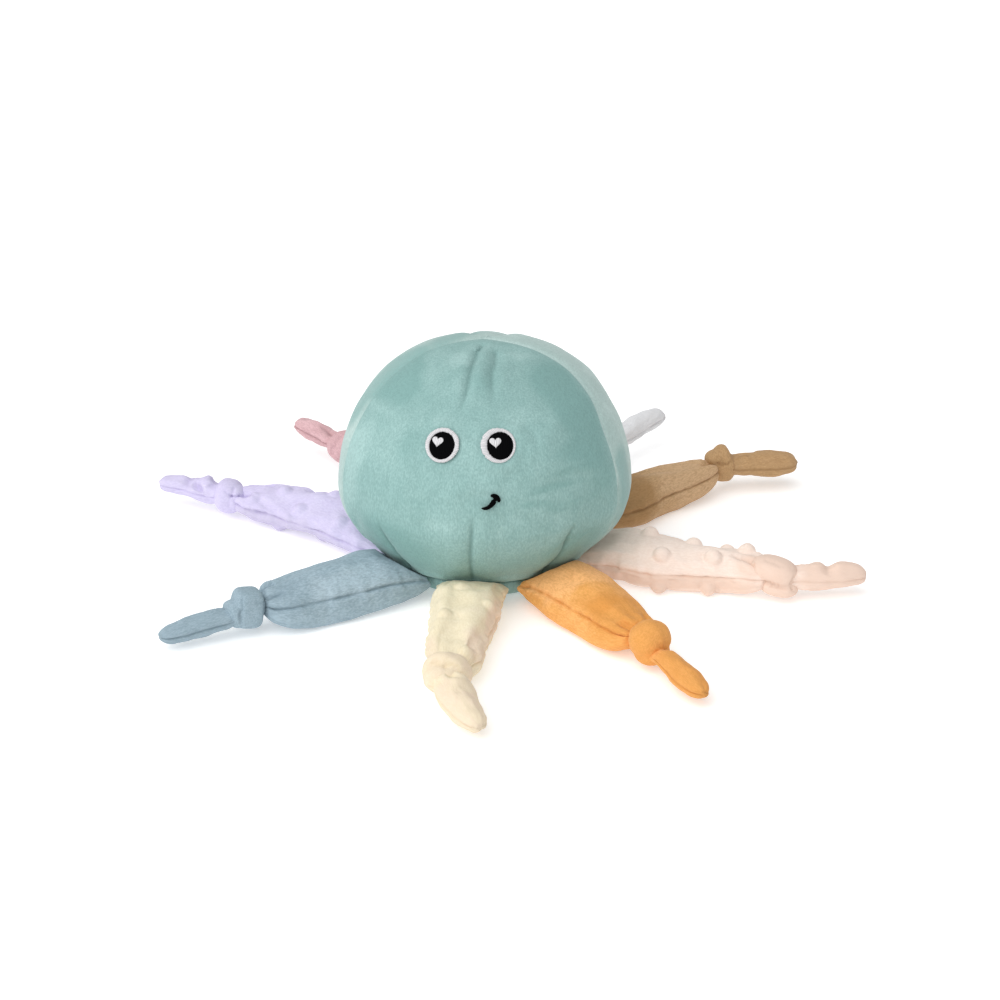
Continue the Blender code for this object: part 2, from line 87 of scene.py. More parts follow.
class OctopusHeadSizes(bpy.types.PropertyGroup):
    """The stuffed head and the base under it."""

    width: length("Width", "Across the head at its widest", 0.1566)
    height: length("Height", "From the floor to the crown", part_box("head_front_panel")[1].z)
    crown_back: length("Crown set back", "How far behind the top the panels meet", 0.012)
    widest_height: length("Widest height", "Where the head is widest", 0.0503)
    seam_radius: length("Seam radius", "Of the seam between head and base", 0.0500)
    seam_height: length("Seam height", "Of the seam between head and base", 0.0115)


class OctopusFaceSizes(bpy.types.PropertyGroup):
    """The embroidered eyes and smile."""

    left_eye_height: length("Left eye height", "Of the middle of the left eye", 0.0960)
    right_eye_height: length("Right eye height", "Of the middle of the right eye", 0.0968)
    eye_pitch: length("Eye pitch", "From the middle of one eye to the other", 0.0291)
    eye_width: length("Eye width", "Across the white ring", 0.0181)
    eye_tallness: length("Eye tallness", "Of the white ring", 0.0182)
    pupil_width: length("Pupil width", "Across the black pupil", 0.0137)
    pupil_tallness: length("Pupil tallness", "Of the black pupil", 0.0146)
    right_pupil_shift: length("Right pupil shift", "How far the right pupil sits off the middle", 0.0010)
    pupil_drop: length("Pupil drop", "How far the pupils sit below the rings' middles", 0.0003)
    heart_width: length("Heart width", "Across the white heart in the pupil", 0.0065)
    mouth_height: length("Mouth height", "Of the middle of the smile", 0.0710)
    stitch_height: length("Stitch height", "How far the embroidery stands up", 0.0010)


class OctopusArmSizes(bpy.types.PropertyGroup):
    """The eight arms, their knots and tails."""

    width: length("Width", "Across a full arm", 0.0440)
    top: length("Top", "Height of an arm's upper side", 0.0255)
    seam_height: length("Seam height", "Of the side seams", 0.0110)
    knot_radius: length("Knot radius", "Of the tied knot", 0.0110)
    tail_width: length("Tail width", "Across the free end", 0.0160)
    tail_thickness: length("Tail thickness", "Of the free end", 0.0125)
    dot_radius: length("Dot radius", "Of a raised dot", 0.0049)
    dot_height: length("Dot height", "Of a raised dot", 0.0026)


class OctopusColours(bpy.types.PropertyGroup):
    """The cloths and threads."""

    teal: colour("Teal", "The head and base", (0.280, 0.456, 0.438))
    pale_teal: colour("Pale teal", "The back of the head, where the nap lies the other way", (0.425, 0.565, 0.540))
    cream: colour("Cream", "The front arm", (0.850, 0.750, 0.545))
    orange: colour("Orange", "The front right arm", (0.825, 0.402, 0.120))
    pink: colour("Pink", "The right arm", (0.920, 0.770, 0.680))
    tan: colour("Tan", "The back right arm", (0.515, 0.325, 0.165))
    white: colour("White", "The back arm", (0.740, 0.740, 0.755))
    rose: colour("Rose", "The back left arm", (0.605, 0.375, 0.393))
    lavender: colour("Lavender", "The left arm", (0.645, 0.595, 0.805))
    blue: colour("Blue", "The front left arm", (0.332, 0.436, 0.500))
    white_thread: colour("White thread", "The eyes' rings and hearts", (0.780, 0.770, 0.790))
    black_thread: colour("Black thread", "The pupils and the smile", (0.0025, 0.0025, 0.0030))


class OctopusStudio(bpy.types.PropertyGroup):
    """The camera, the floor and the lights."""

    distance: length("Distance", "From the camera to the octopus", 1.400)
    azimuth: FloatProperty(name="Azimuth", description="The camera's turn", default=math.radians(6), subtype="ANGLE")
    elevation: FloatProperty(
        name="Elevation", description="The camera's rise", default=math.radians(26), subtype="ANGLE"
    )
    floor_size: length("Floor size", "Side of the square floor", 14.0)
    ambient: FloatProperty(name="Ambient", description="Strength of the light from all round", default=0.50)
    key: FloatProperty(name="Key", description="Strength of the soft light from above", default=1.45)
    table_glow: FloatProperty(name="Table glow", description="Light that the table itself gives", default=0.30)


def sizes(group):
    return getattr(bpy.context.scene, f"octopus_{group}")


# ---- The arms, one row each, as they lie in the photograph ----


class Arm(NamedTuple):
    """One arm. Turns and headings are in degrees about +Z; reach, heights and lengths are in metres.

    width_share and top_share are of the full arm's size, end_share is its width at the knot, and
    tail_shares are the tail's width at the knot, halfway and near the tip. roll is how far the seams
    have turned round the arm, and bends how far it lies to the left of its plain curve at BEND_PLACES.
    """

    name: str
    dotted: bool
    root_turn: float
    knot_turn: float
    knot_reach: float
    knot_heading: float
    tail_heading: float
    tip_heading: float
    knot_height: float
    tip_height: float
    width_share: float
    end_share: float
    top_share: float
    tail_length: float
    tail_shares: tuple
    roll: float
    bends: tuple


ARMS = (
    Arm(
        "cream", True, -90, -91.0, 0.1510, -99, -71, -58, 0.0121, 0.0083, 0.90, 0.84, 0.84, 0.0412,
        (1.36, 1.14, 0.72), 0, (0, -0.0018, -0.0020, -0.0022, -0.0010, 0),
    ),
    Arm(
        "orange", False, -45, -49.4, 0.1470, -52, -56, -57, 0.0132, 0.0083, 0.88, 0.80, 0.94, 0.0420,
        (0.88, 0.98, 0.70), -24, (0, -0.0006, -0.0010, -0.0012, -0.0008, 0),
    ),
    Arm(
        "pink", True, 0, -10.0, 0.1620, -14, 2, 24, 0.0127, 0.0118, 0.92, 0.90, 0.88, 0.0368,
        (1.15, 1.05, 1.0), -6, (0, -0.0040, -0.0070, -0.0025, 0.0040, 0),
    ),
    Arm(
        "tan", False, 45, 40.5, 0.1665, 46, 12, 10, 0.0155, 0.0146, 0.89, 0.70, 0.92, 0.0345,
        (1.1, 1.2, 1.0), -14, (0, -0.0045, -0.0065, -0.0010, 0.0005, 0),
    ),
    Arm(
        "white", True, 90, 65.8, 0.1450, 52, 57, 52, 0.0128, 0.0178, 0.90, 0.75, 0.86, 0.0432,
        (1.1, 1.0, 0.85), 0, (0, 0, 0, 0, 0, 0),
    ),
    Arm(
        "rose", False, 135, 131.0, 0.1395, 131, 132, 137, 0.0178, 0.0176, 0.90, 0.78, 0.94, 0.0402,
        (0.9, 0.90, 0.8), 0, (0, 0, 0, 0, 0, 0),
    ),
    Arm(
        "lavender", True, 180, 163.7, 0.1545, 171, 160, 163, 0.0127, 0.0132, 0.85, 0.78, 0.86, 0.0361,
        (1.1, 0.85, 0.85), 0, (0, -0.0060, -0.0085, -0.0042, -0.0008, 0),
    ),
    Arm(
        "blue", False, -135, -139.8, 0.1470, -149, -149, -147, 0.0138, 0.0083, 0.92, 0.86, 0.97, 0.0386,
        (1.0, 0.92, 0.76), 24, (0, -0.0010, -0.0014, -0.0010, -0.0003, 0),
    ),
)

# Along an arm from the sewn root to the knot: place, width, top and underside
PLACES = (0.0, 0.02, 0.06, 0.12, 0.20, 0.34, 0.50, 0.66, 0.80, 0.90, 0.955, 1.0)
WIDTHS = (0.96, 0.97, 1.0, 1.02, 1.03, 1.03, 1.01, 1.0, 0.99, 0.93, 0.76, 0.42)
TOPS = (0.02, 0.30, 0.66, 0.88, 0.98, 1.0, 1.0, 0.98, 0.92, 0.80, 0.62, 0.34)
UNDERS = (0.06, 0.34, 0.72, 0.94, 1.0, 1.0, 1.0, 1.0, 0.98, 0.90, 0.70, 0.38)
BEND_PLACES = (0.0, 0.25, 0.45, 0.65, 0.85, 1.0)
# Along a tail from inside the knot to the tip; how its end rounds off
TIP_PLACES = (0.0, 0.55, 0.80, 0.90, 0.965, 1.0)
TIP_SHARES = (1.0, 1.0, 0.98, 0.86, 0.56, 0.0)


# ---- Small helpers ----


def turned(degrees):
    angle = math.radians(degrees)
    return Vector((math.cos(angle), math.sin(angle), 0))


def eased(xs, ys, x):
    """A smooth curve through the points (xs, ys), read at x."""
    xs = np.asarray(xs, float)
    ys = np.asarray(ys, float)
    slopes = np.gradient(ys, xs)
    x = np.clip(x, xs[0], xs[-1])
    i = np.clip(np.searchsorted(xs, x, side="right") - 1, 0, len(xs) - 2)
    span = xs[i + 1] - xs[i]
    u = (x - xs[i]) / span
    h00 = 2 * u**3 - 3 * u**2 + 1
    h10 = u**3 - 2 * u**2 + u
    h01 = -2 * u**3 + 3 * u**2
    h11 = u**3 - u**2
    return h00 * ys[i] + h10 * span * slopes[i] + h01 * ys[i + 1] + h11 * span * slopes[i + 1]


def coordinates(mesh):
    co = np.empty(len(mesh.vertices) * 3, np.float32)
    mesh.vertices.foreach_get("co", co)
    return co.reshape(-1, 3).astype(float)


def normals(mesh):
    found = np.empty(len(mesh.vertices) * 3, np.float32)
    mesh.vertex_normals.foreach_get("vector", found)
    return found.reshape(-1, 3).astype(float)


def move_to(mesh, co):
    mesh.vertices.foreach_set("co", np.ascontiguousarray(co, np.float32).ravel())
    mesh.update()


def write_attribute(mesh, name, values):
    values = np.asarray(values, np.float32)
    kind = "FLOAT_VECTOR" if values.ndim == 2 else "FLOAT"
    made = mesh.attributes.get(name) or mesh.attributes.new(name, kind, "POINT")
    made.data.foreach_set("vector" if values.ndim == 2 else "value", values.ravel())


def read_attribute(mesh, name):
    found = mesh.attributes[name]
    wide = found.data_type == "FLOAT_VECTOR"
    values = np.empty(len(mesh.vertices) * (3 if wide else 1), np.float32)
    found.data.foreach_get("vector" if wide else "value", values)
    return values.reshape(-1, 3).astype(float) if wide else values.astype(float)


SLOPES = np.random.default_rng(8).normal(size=(256, 3))
SLOPES /= np.linalg.norm(SLOPES, axis=1)[:, None]


def mottle(points, size, seed=0.0):
    """Smooth noise from about -1 to 1 at these points; its blotches are about this size across."""
    spots = points / size + np.array([seed * 17.3, seed * 9.1, seed * 5.7])
    cell = np.floor(spots).astype(np.int64)
    part = spots - cell
    fade = part**3 * (part * (part * 6 - 15) + 10)
    total = np.zeros(len(spots))
    for corner in np.ndindex(2, 2, 2):
        at = cell + corner
        pick = (at[:, 0] * 73856093) ^ (at[:, 1] * 19349663) ^ (at[:, 2] * 83492791)
        slope = SLOPES[(pick ^ (pick >> 8)) & 255]
        near = np.where(corner, fade, 1 - fade).prod(axis=1)
        total += ((part - corner) * slope).sum(axis=1) * near
    return total * 1.6


def new_object(name, mesh, material):
    obj = bpy.data.objects.new(name, mesh)
    bpy.context.scene.collection.objects.link(obj)
    mesh.materials.clear()
    mesh.materials.append(material)
    return obj


def mesh_from(bm, name):
    bmesh.ops.recalc_face_normals(bm, faces=bm.faces)
    mesh = bpy.data.meshes.new(name)
    bm.to_mesh(mesh)
    bm.free()
    return mesh


def finished_mesh(obj):
    """Applies the object's modifiers to its mesh."""
    bpy.context.view_layer.update()
    graph = bpy.context.evaluated_depsgraph_get()
    made = bpy.data.meshes.new_from_object(obj.evaluated_get(graph), preserve_all_data_layers=True, depsgraph=graph)
    old = obj.data
    obj.modifiers.clear()
    obj.data = made
    made.name = obj.name
    bpy.data.meshes.remove(old)
    return made


def subdivide(obj, levels):
    divide = obj.modifiers.new("finer", "SUBSURF")
    divide.levels = levels
    divide.render_levels = levels
    divide.boundary_smooth = "PRESERVE_CORNERS"
    return finished_mesh(obj)


def remesh(obj, voxel):
    joined = obj.modifiers.new("one skin", "REMESH")
    joined.mode = "VOXEL"
    joined.voxel_size = voxel
    joined.adaptivity = 0
    return finished_mesh(obj)


def smooth_shape(mesh, times):
    bm = bmesh.new()
    bm.from_mesh(mesh)
    for _ in range(times):
        bmesh.ops.smooth_vert(bm, verts=bm.verts, factor=0.5, use_axis_x=True, use_axis_y=True, use_axis_z=True)
    bm.to_mesh(mesh)
    bm.free()


def above_floor(mesh, least=0.0001):
    """Keeps every point of the mesh at least this high."""
    co = coordinates(mesh)
    co[:, 2] = np.maximum(co[:, 2], least)
    move_to(mesh, co)


# How the plush behaves while its filling puffs it up
PLUSH = {
    "quality": 6,
    "mass": 0.15,
    "tension_stiffness": 12,
    "compression_stiffness": 12,
    "shear_stiffness": 5,
    "bending_stiffness": 0.4,
    "tension_damping": 5,
    "compression_damping": 5,
    "air_damping": 1,
    "use_pressure": True,
}


def weigh(obj, name, weights):
    """Writes a vertex group of these weights, without the points that have next to none."""
    group = obj.vertex_groups.new(name=name)
    for i, weight in enumerate(weights):
        if weight > 0.001:
            group.add([i], float(weight), "REPLACE")
    return group.name


def puff_up(obj, pressure, cap, held, gathered, gather, frames=20):
    """Simulates the piece as cloth under the pressure of its filling, and caps how far a point moves.

    held is how firmly each point stays put, and gathered where the seam's thread draws the cloth
    short, by the share gather.
    """
    mesh = obj.data
    before = coordinates(mesh)
    cloth = obj.modifiers.new("stuffing", "CLOTH")
    settings = cloth.settings
    for key, value in PLUSH.items():
        setattr(settings, key, value)
    settings.uniform_pressure_force = pressure
    settings.vertex_group_mass = weigh(obj, "held", held)
    settings.effector_weights.gravity = 0
    settings.vertex_group_shrink = weigh(obj, "gathered", gathered)
    settings.shrink_min = 0
    settings.shrink_max = gather
    cloth.collision_settings.use_collision = False
    cloth.point_cache.frame_start = 1
    cloth.point_cache.frame_end = frames
    scene = bpy.context.scene
    for step in range(1, frames + 1):
        scene.frame_set(step)
    graph = bpy.context.evaluated_depsgraph_get()
    after = coordinates(obj.evaluated_get(graph).data)
    scene.frame_set(1)
    obj.modifiers.remove(cloth)
    obj.vertex_groups.clear()
    moved = after - before
    size = np.linalg.norm(moved, axis=1)
    size[size == 0] = 1e-9  # a point that stayed put
    soft = cap * np.tanh(size / cap)
    move_to(mesh, before + moved * (soft / size)[:, None])


def pile(mesh, nap, depth, seed, lay=2.2):
    """Gives the surface the small uneven tufts of brushed cloth; nap's first number runs with the lay."""
    spots = nap * np.array([1 / lay, 1, 1])
    tufts = mottle(spots, 0.0017, seed) + 0.5 * mottle(spots, 0.0036, seed + 1)
    clumps = mottle(nap, 0.011, seed + 2)
    shape = depth * (tufts * (0.75 + 0.5 * clumps) + 0.7 * clumps)
    move_to(mesh, coordinates(mesh) + normals(mesh) * shape[:, None])


# ---- Materials ----


def group_socket(tree, name, kind, out=False):
    tree.interface.new_socket(name=name, in_out="OUTPUT" if out else "INPUT", socket_type=kind)


def node(tree, kind, place, **values):
    made = tree.nodes.new(kind)
    made.location = place
    for key, value in values.items():
        setattr(made, key, value)
    return made


def noise_texture(tree, vector, size, place, detail=2.0, rough=0.55, distortion=0.0):
    """Noise whose blotches are about this size across; size is a number or a socket."""
    made = node(tree, "ShaderNodeTexNoise", place)
    made.inputs["Detail"].default_value = detail
    made.inputs["Roughness"].default_value = rough
    made.inputs["Distortion"].default_value = distortion
    tree.links.new(vector, made.inputs["Vector"])
    if isinstance(size, float):
        made.inputs["Scale"].default_value = 1 / size
        return made.outputs["Fac"]
    scale = node(tree, "ShaderNodeMath", (place[0] - 200, place[1]), operation="DIVIDE")
    scale.inputs[0].default_value = 1
    tree.links.new(size, scale.inputs[1])
    tree.links.new(scale.outputs[0], made.inputs["Scale"])
    return made.outputs["Fac"]


def stretched(tree, vector, along, place):
    """The nap's coordinates squeezed by this share along the lay, which draws the noise out."""
    made = node(tree, "ShaderNodeVectorMath", place, operation="MULTIPLY")
    made.inputs[1].default_value = (along, 1, 1)
    tree.links.new(vector, made.inputs[0])
    return made.outputs[0]


def ranged(tree, value, low, high, to_low, to_high, place, smooth=False):
    made = node(tree, "ShaderNodeMapRange", place)
    made.interpolation_type = "SMOOTHSTEP" if smooth else "LINEAR"
    for key, number in (("From Min", low), ("From Max", high), ("To Min", to_low), ("To Max", to_high)):
        made.inputs[key].default_value = number
    tree.links.new(value, made.inputs["Value"])
    return made.outputs[0]


def mixed(tree, factor, a, b, place):
    made = node(tree, "ShaderNodeMix", place, data_type="RGBA")
    for key, source in (("Factor", factor), ("A", a), ("B", b)):
        tree.links.new(source, made.inputs[key])
    return made.outputs["Result"]


def calculated(tree, operation, a, b, place):
    made = node(tree, "ShaderNodeMath", place, operation=operation)
    for i, source in enumerate((a, b)):
        if isinstance(source, float):
            made.inputs[i].default_value = source
        else:
            tree.links.new(source, made.inputs[i])
    return made.outputs[0]


def brushed_pile_group():
    """Colour, roughness and height of a short brushed pile: patches of lay, brush strokes and fibres, with painted
    shade and light from the lay mask and painted shade from the crease mask.
    """
    name = "Brushed pile"
    if name in bpy.data.node_groups:
        return bpy.data.node_groups[name]
    tree = bpy.data.node_groups.new(name, "ShaderNodeTree")
    group_socket(tree, "Nap", "NodeSocketVector")
    for key in ("Colour", "Pale", "Rich", "Deep"):
        group_socket(tree, key, "NodeSocketColor")
    for key in ("Lay", "Crease", "Patch size", "Patch share", "Fibre size", "Grain"):
        group_socket(tree, key, "NodeSocketFloat")
    group_socket(tree, "Colour", "NodeSocketColor", out=True)
    for key in ("Roughness", "Height"):
        group_socket(tree, key, "NodeSocketFloat", out=True)
    into = node(tree, "NodeGroupInput", (-1600, 0)).outputs
    out = node(tree, "NodeGroupOutput", (900, 0)).inputs

    patches = noise_texture(tree, into["Nap"], into["Patch size"], (-1000, 400), 3, 0.55, 0.6)
    patch = ranged(tree, patches, 0.42, 0.66, 0, 1, (-750, 400), smooth=True)
    clumps = noise_texture(tree, stretched(tree, into["Nap"], 0.5, (-1200, 100)), 0.0085, (-1000, 100), 2, 0.5, 0.3)
    clump = ranged(tree, clumps, 0.32, 0.68, 0, 1, (-750, 100), smooth=True)
    laid = stretched(tree, into["Nap"], 0.45, (-1200, -200))
    fibres = noise_texture(tree, laid, into["Fibre size"], (-1000, -200), 2, 0.65)
    fuzz = noise_texture(tree, laid, 0.0021, (-1000, -450), 1, 0.5)
    fine = calculated(tree, "MULTIPLY", fibres, 0.80, (-850, -250))
    coarse = calculated(tree, "MULTIPLY", fuzz, 0.20, (-850, -400))
    tuft = calculated(tree, "ADD", fine, coarse, (-700, -300))
    # The Lay input carries painted shade and light as well as turned pile
    wander = calculated(tree, "SUBTRACT", patches, 0.5, (-900, 650))
    paler_lay_and_light = calculated(tree, "ADD", wander, into["Lay"], (-700, 650))
    raised = ranged(tree, paler_lay_and_light, 0.05, 0.9, 0, 0.85, (-500, 650), smooth=True)
    deeper_lay_and_shade = calculated(tree, "SUBTRACT", wander, into["Lay"], (-700, 850))
    sunk = ranged(tree, deeper_lay_and_shade, 0.05, 0.9, 0, 0.95, (-500, 850), smooth=True)

    lay = calculated(tree, "MULTIPLY", patch, into["Patch share"], (-500, 350))
    strokes = calculated(tree, "MULTIPLY", clump, 0.16, (-500, 100))
    tips = ranged(tree, fibres, 0.54, 0.74, 0, 0.35, (-500, -50))
    pale = calculated(tree, "ADD", calculated(tree, "ADD", lay, strokes, (-300, 300)), raised, (-150, 350))
    pale = calculated(tree, "ADD", pale, tips, (-100, 300))
    brushed = mixed(tree, pale, into["Colour"], into["Pale"], (50, 250))
    brushed = mixed(tree, sunk, brushed, into["Rich"], (150, 300))
    low = ranged(tree, tuft, 0.38, 0.58, 1, 0, (-450, -250))
    shade = calculated(tree, "MULTIPLY", low, into["Grain"], (-200, -150))
    shaded = mixed(tree, shade, brushed, into["Deep"], (300, 200))
    # Painted shade: the crease mask darkens seams, folds and knot creases towards the deep colour
    painted_shade = calculated(tree, "MULTIPLY", into["Crease"], 0.8, (300, 0))
    shaded = mixed(tree, painted_shade, shaded, into["Deep"], (500, 200))
    tree.links.new(shaded, out["Colour"])
    tree.links.new(ranged(tree, fibres, 0.3, 0.7, 0.82, 1.0, (150, -150)), out["Roughness"])
    tree.links.new(tuft, out["Height"])
    return tree


def cloth_material(name, base, pale, deep, patch, share, fibre, grain, rich_and_shaded, depth=1.2, sheen=0.2):
    """A plush cloth of this colour."""
    made = bpy.data.materials.new(name)
    made.use_nodes = True
    tree = made.node_tree
    shader = tree.nodes["Principled BSDF"]
    group = node(tree, "ShaderNodeGroup", (-500, 100))
    group.node_tree = brushed_pile_group()
    nap = node(tree, "ShaderNodeAttribute", (-750, 100), attribute_name="nap")
    grey = sum(base) / 3
    light = [min(1, (c * 0.85 + grey * 0.15) * pale) for c in base]
    group.inputs["Colour"].default_value = (*base, 1)
    group.inputs["Pale"].default_value = (*light, 1)
    # The rich colour goes on turned pile and on painted shade
    group.inputs["Rich"].default_value = (*rich_and_shaded, 1)
    group.inputs["Deep"].default_value = (*[c**depth * deep for c in base], 1)
    group.inputs["Patch size"].default_value = patch
    group.inputs["Patch share"].default_value = share
    group.inputs["Fibre size"].default_value = fibre
    group.inputs["Grain"].default_value = grain
    tree.links.new(nap.outputs["Vector"], group.inputs["Nap"])
    # The lay mask carries turned pile with painted shade and light; the crease mask is painted shade in seams, folds
    # and creases
    for place, key in ((-150, "lay"), (-350, "crease")):
        mask = node(tree, "ShaderNodeAttribute", (-750, place), attribute_name=key)
        tree.links.new(mask.outputs["Fac"], group.inputs[key.capitalize()])
    tree.links.new(group.outputs["Colour"], shader.inputs["Base Color"])
    tree.links.new(group.outputs["Roughness"], shader.inputs["Roughness"])
    relief = node(tree, "ShaderNodeBump", (-250, -200))
    relief.inputs["Strength"].default_value = 0.8
    relief.inputs["Distance"].default_value = 0.00035
    tree.links.new(group.outputs["Height"], relief.inputs["Height"])
    tree.links.new(relief.outputs["Normal"], shader.inputs["Normal"])
    shader.inputs["Sheen Weight"].default_value = sheen
    shader.inputs["Sheen Roughness"].default_value = 0.35
    shader.inputs["Sheen Tint"].default_value = (*[0.6 + 0.4 * c for c in light], 1)
    shader.inputs["Specular IOR Level"].default_value = 0.08
    made.diffuse_color = (*base, 1)
    return made


def thread_material(name, base, gloss):
    """Satin-stitch thread; nap's first number runs across the stitches."""
    made = bpy.data.materials.new(name)
    made.use_nodes = True
    tree = made.node_tree
    shader = tree.nodes["Principled BSDF"]
    nap = node(tree, "ShaderNodeAttribute", (-1100, 0), attribute_name="nap")
    threads = node(tree, "ShaderNodeTexWave", (-800, 0), wave_type="BANDS", bands_direction="X")
    threads.inputs["Scale"].default_value = 350
    threads.inputs["Distortion"].default_value = 2.5
    threads.inputs["Detail"].default_value = 2
    threads.inputs["Detail Scale"].default_value = 1.5
    tree.links.new(nap.outputs["Vector"], threads.inputs["Vector"])
    tone = node(tree, "ShaderNodeMix", (-450, 150), data_type="RGBA")
    tone.inputs["A"].default_value = (*[c * 0.72 for c in base], 1)
    tone.inputs["B"].default_value = (*base, 1)
    tree.links.new(threads.outputs["Fac"], tone.inputs["Factor"])
    tree.links.new(tone.outputs["Result"], shader.inputs["Base Color"])
    rough = node(tree, "ShaderNodeMapRange", (-450, -100))
    rough.inputs["To Min"].default_value = gloss + 0.15
    rough.inputs["To Max"].default_value = gloss
    tree.links.new(threads.outputs["Fac"], rough.inputs["Value"])
    tree.links.new(rough.outputs[0], shader.inputs["Roughness"])
    relief = node(tree, "ShaderNodeBump", (-450, -350))
    relief.inputs["Strength"].default_value = 0.5
    relief.inputs["Distance"].default_value = 0.0002
    tree.links.new(threads.outputs["Fac"], relief.inputs["Height"])
    tree.links.new(relief.outputs["Normal"], shader.inputs["Normal"])
    shader.inputs["Specular IOR Level"].default_value = 0.12 if base[0] > 0.1 else 0.02
    made.diffuse_color = (*base, 1)
    return made


# How each channel of a dotted arm's colour drops where its pile is laid down; on the cream and pink
# arms it is also the pinker colour of their painted shade
LAID_DOWN_AND_SHADE = {
    "cream": (0.97, 0.89, 0.97),
    "pink": (0.88, 0.80, 0.75),
    "white": (0.88, 0.88, 0.90),
    "lavender": (0.90, 0.90, 0.86),
}


def look(name):
    """The material of this cloth or thread, made on first use."""
    base = tuple(getattr(sizes("colours"), name.removesuffix("_cloth")))
    thread = name.endswith("_thread")
    name = name.replace("_thread", "_satin_stitch").replace("_cloth", "_plush")
    if name in bpy.data.materials:
        return bpy.data.materials[name]
    if thread:
        return thread_material(name, base, 0.6 if name.startswith("black") else 0.5)
    rich_and_shaded = [c**1.15 for c in base]
    if name == "teal_plush":
        return cloth_material(name, base, 1.28, 0.60, 0.026, 0.32, 0.0008, 0.32, rich_and_shaded, sheen=0.30)
    if name == "pale_teal_plush":
        rich_and_shaded = [c**1.05 for c in sizes("colours").teal]
        return cloth_material(name, base, 1.18, 0.66, 0.026, 0.40, 0.0008, 0.28, rich_and_shaded, sheen=0.40)
    # On the cream and pink arms the deeper colour is also the colour of their painted shade
    if any(arm.dotted for arm in ARMS if name == f"{arm.name}_plush"):
        rich_and_shaded = [c * share for c, share in zip(base, LAID_DOWN_AND_SHADE[name.removesuffix("_plush")])]
        return cloth_material(name, base, 1.08, 0.86, 0.016, 0.40, 0.0009, 0.24, rich_and_shaded, 1.5)
    rich_and_shaded = [c**1.15 * 0.9 for c in base]
    deep = 0.76 if name == "orange_plush" else 0.64
    return cloth_material(name, base, 1.28, deep, 0.019, 0.26, 0.0008, 0.40, rich_and_shaded)


# ---- The head ----

FACE_TURN = -90
FRONT_ARC = 140
HEAD_STEPS = 150
LOWER_RINGS = 24
UPPER_RINGS = 40
UPPER_POWERS = (2.12, 2.35)
LOWER_POWERS = (1.62, 1.35)

# Folds, seams and darts in the head's cloth as (turn in degrees, height) points from the crown or from
# the bottom seam, with the depth and half width of the soft valley and the depth of the crisp line in it;
# the crisp line's depth also sets how dark the painted shade along it is
HEAD_FOLDS = (
    (((-118, 0.12660), (-101, 0.12640), (-97.0, 0.1232), (-96.0, 0.1160), (-98.5, 0.1100)), 0.0012, 0.0024, 0.0006),
    (((-40, 0.12660), (-63, 0.12600), (-75.0, 0.1235), (-78.0, 0.1190), (-79.0, 0.1120)), 0.0011, 0.0024, 0.0004),
    (((-89.8, 0.0120), (-89.5, 0.0351), (-88.8, 0.0500), (-88.2, 0.0640)), 0.0008, 0.0040, 0.0009),
    (((-127, 0.0120), (-128, 0.0277), (-128.4, 0.0358), (-129.5, 0.0520)), 0.0011, 0.0040, 0.0010),
    (((-51, 0.0120), (-49.5, 0.0340), (-49.5, 0.0436), (-47.0, 0.0520)), 0.0011, 0.0040, 0.0010),
    (((28, 0.0120), (29, 0.0320), (31, 0.0500)), 0.0008, 0.0040, 0.0010),
    (((62, 0.0120), (61, 0.0320), (60, 0.0480)), 0.0008, 0.0040, 0.0010),
    (((92, 0.0120), (92, 0.0320), (93, 0.0620)), 0.0006, 0.0040, 0.0009),
    (((124, 0.0120), (125, 0.0320), (124, 0.0490)), 0.0008, 0.0040, 0.0010),
    (((155, 0.0120), (154, 0.0320), (152, 0.0480)), 0.0008, 0.0040, 0.0010),
    (((76, 0.1258), (75, 0.1220), (73, 0.1160)), 0.0010, 0.0030, 0.0003),
    (((108, 0.1258), (108, 0.1220), (109, 0.1140)), 0.0010, 0.0030, 0.0003),
)


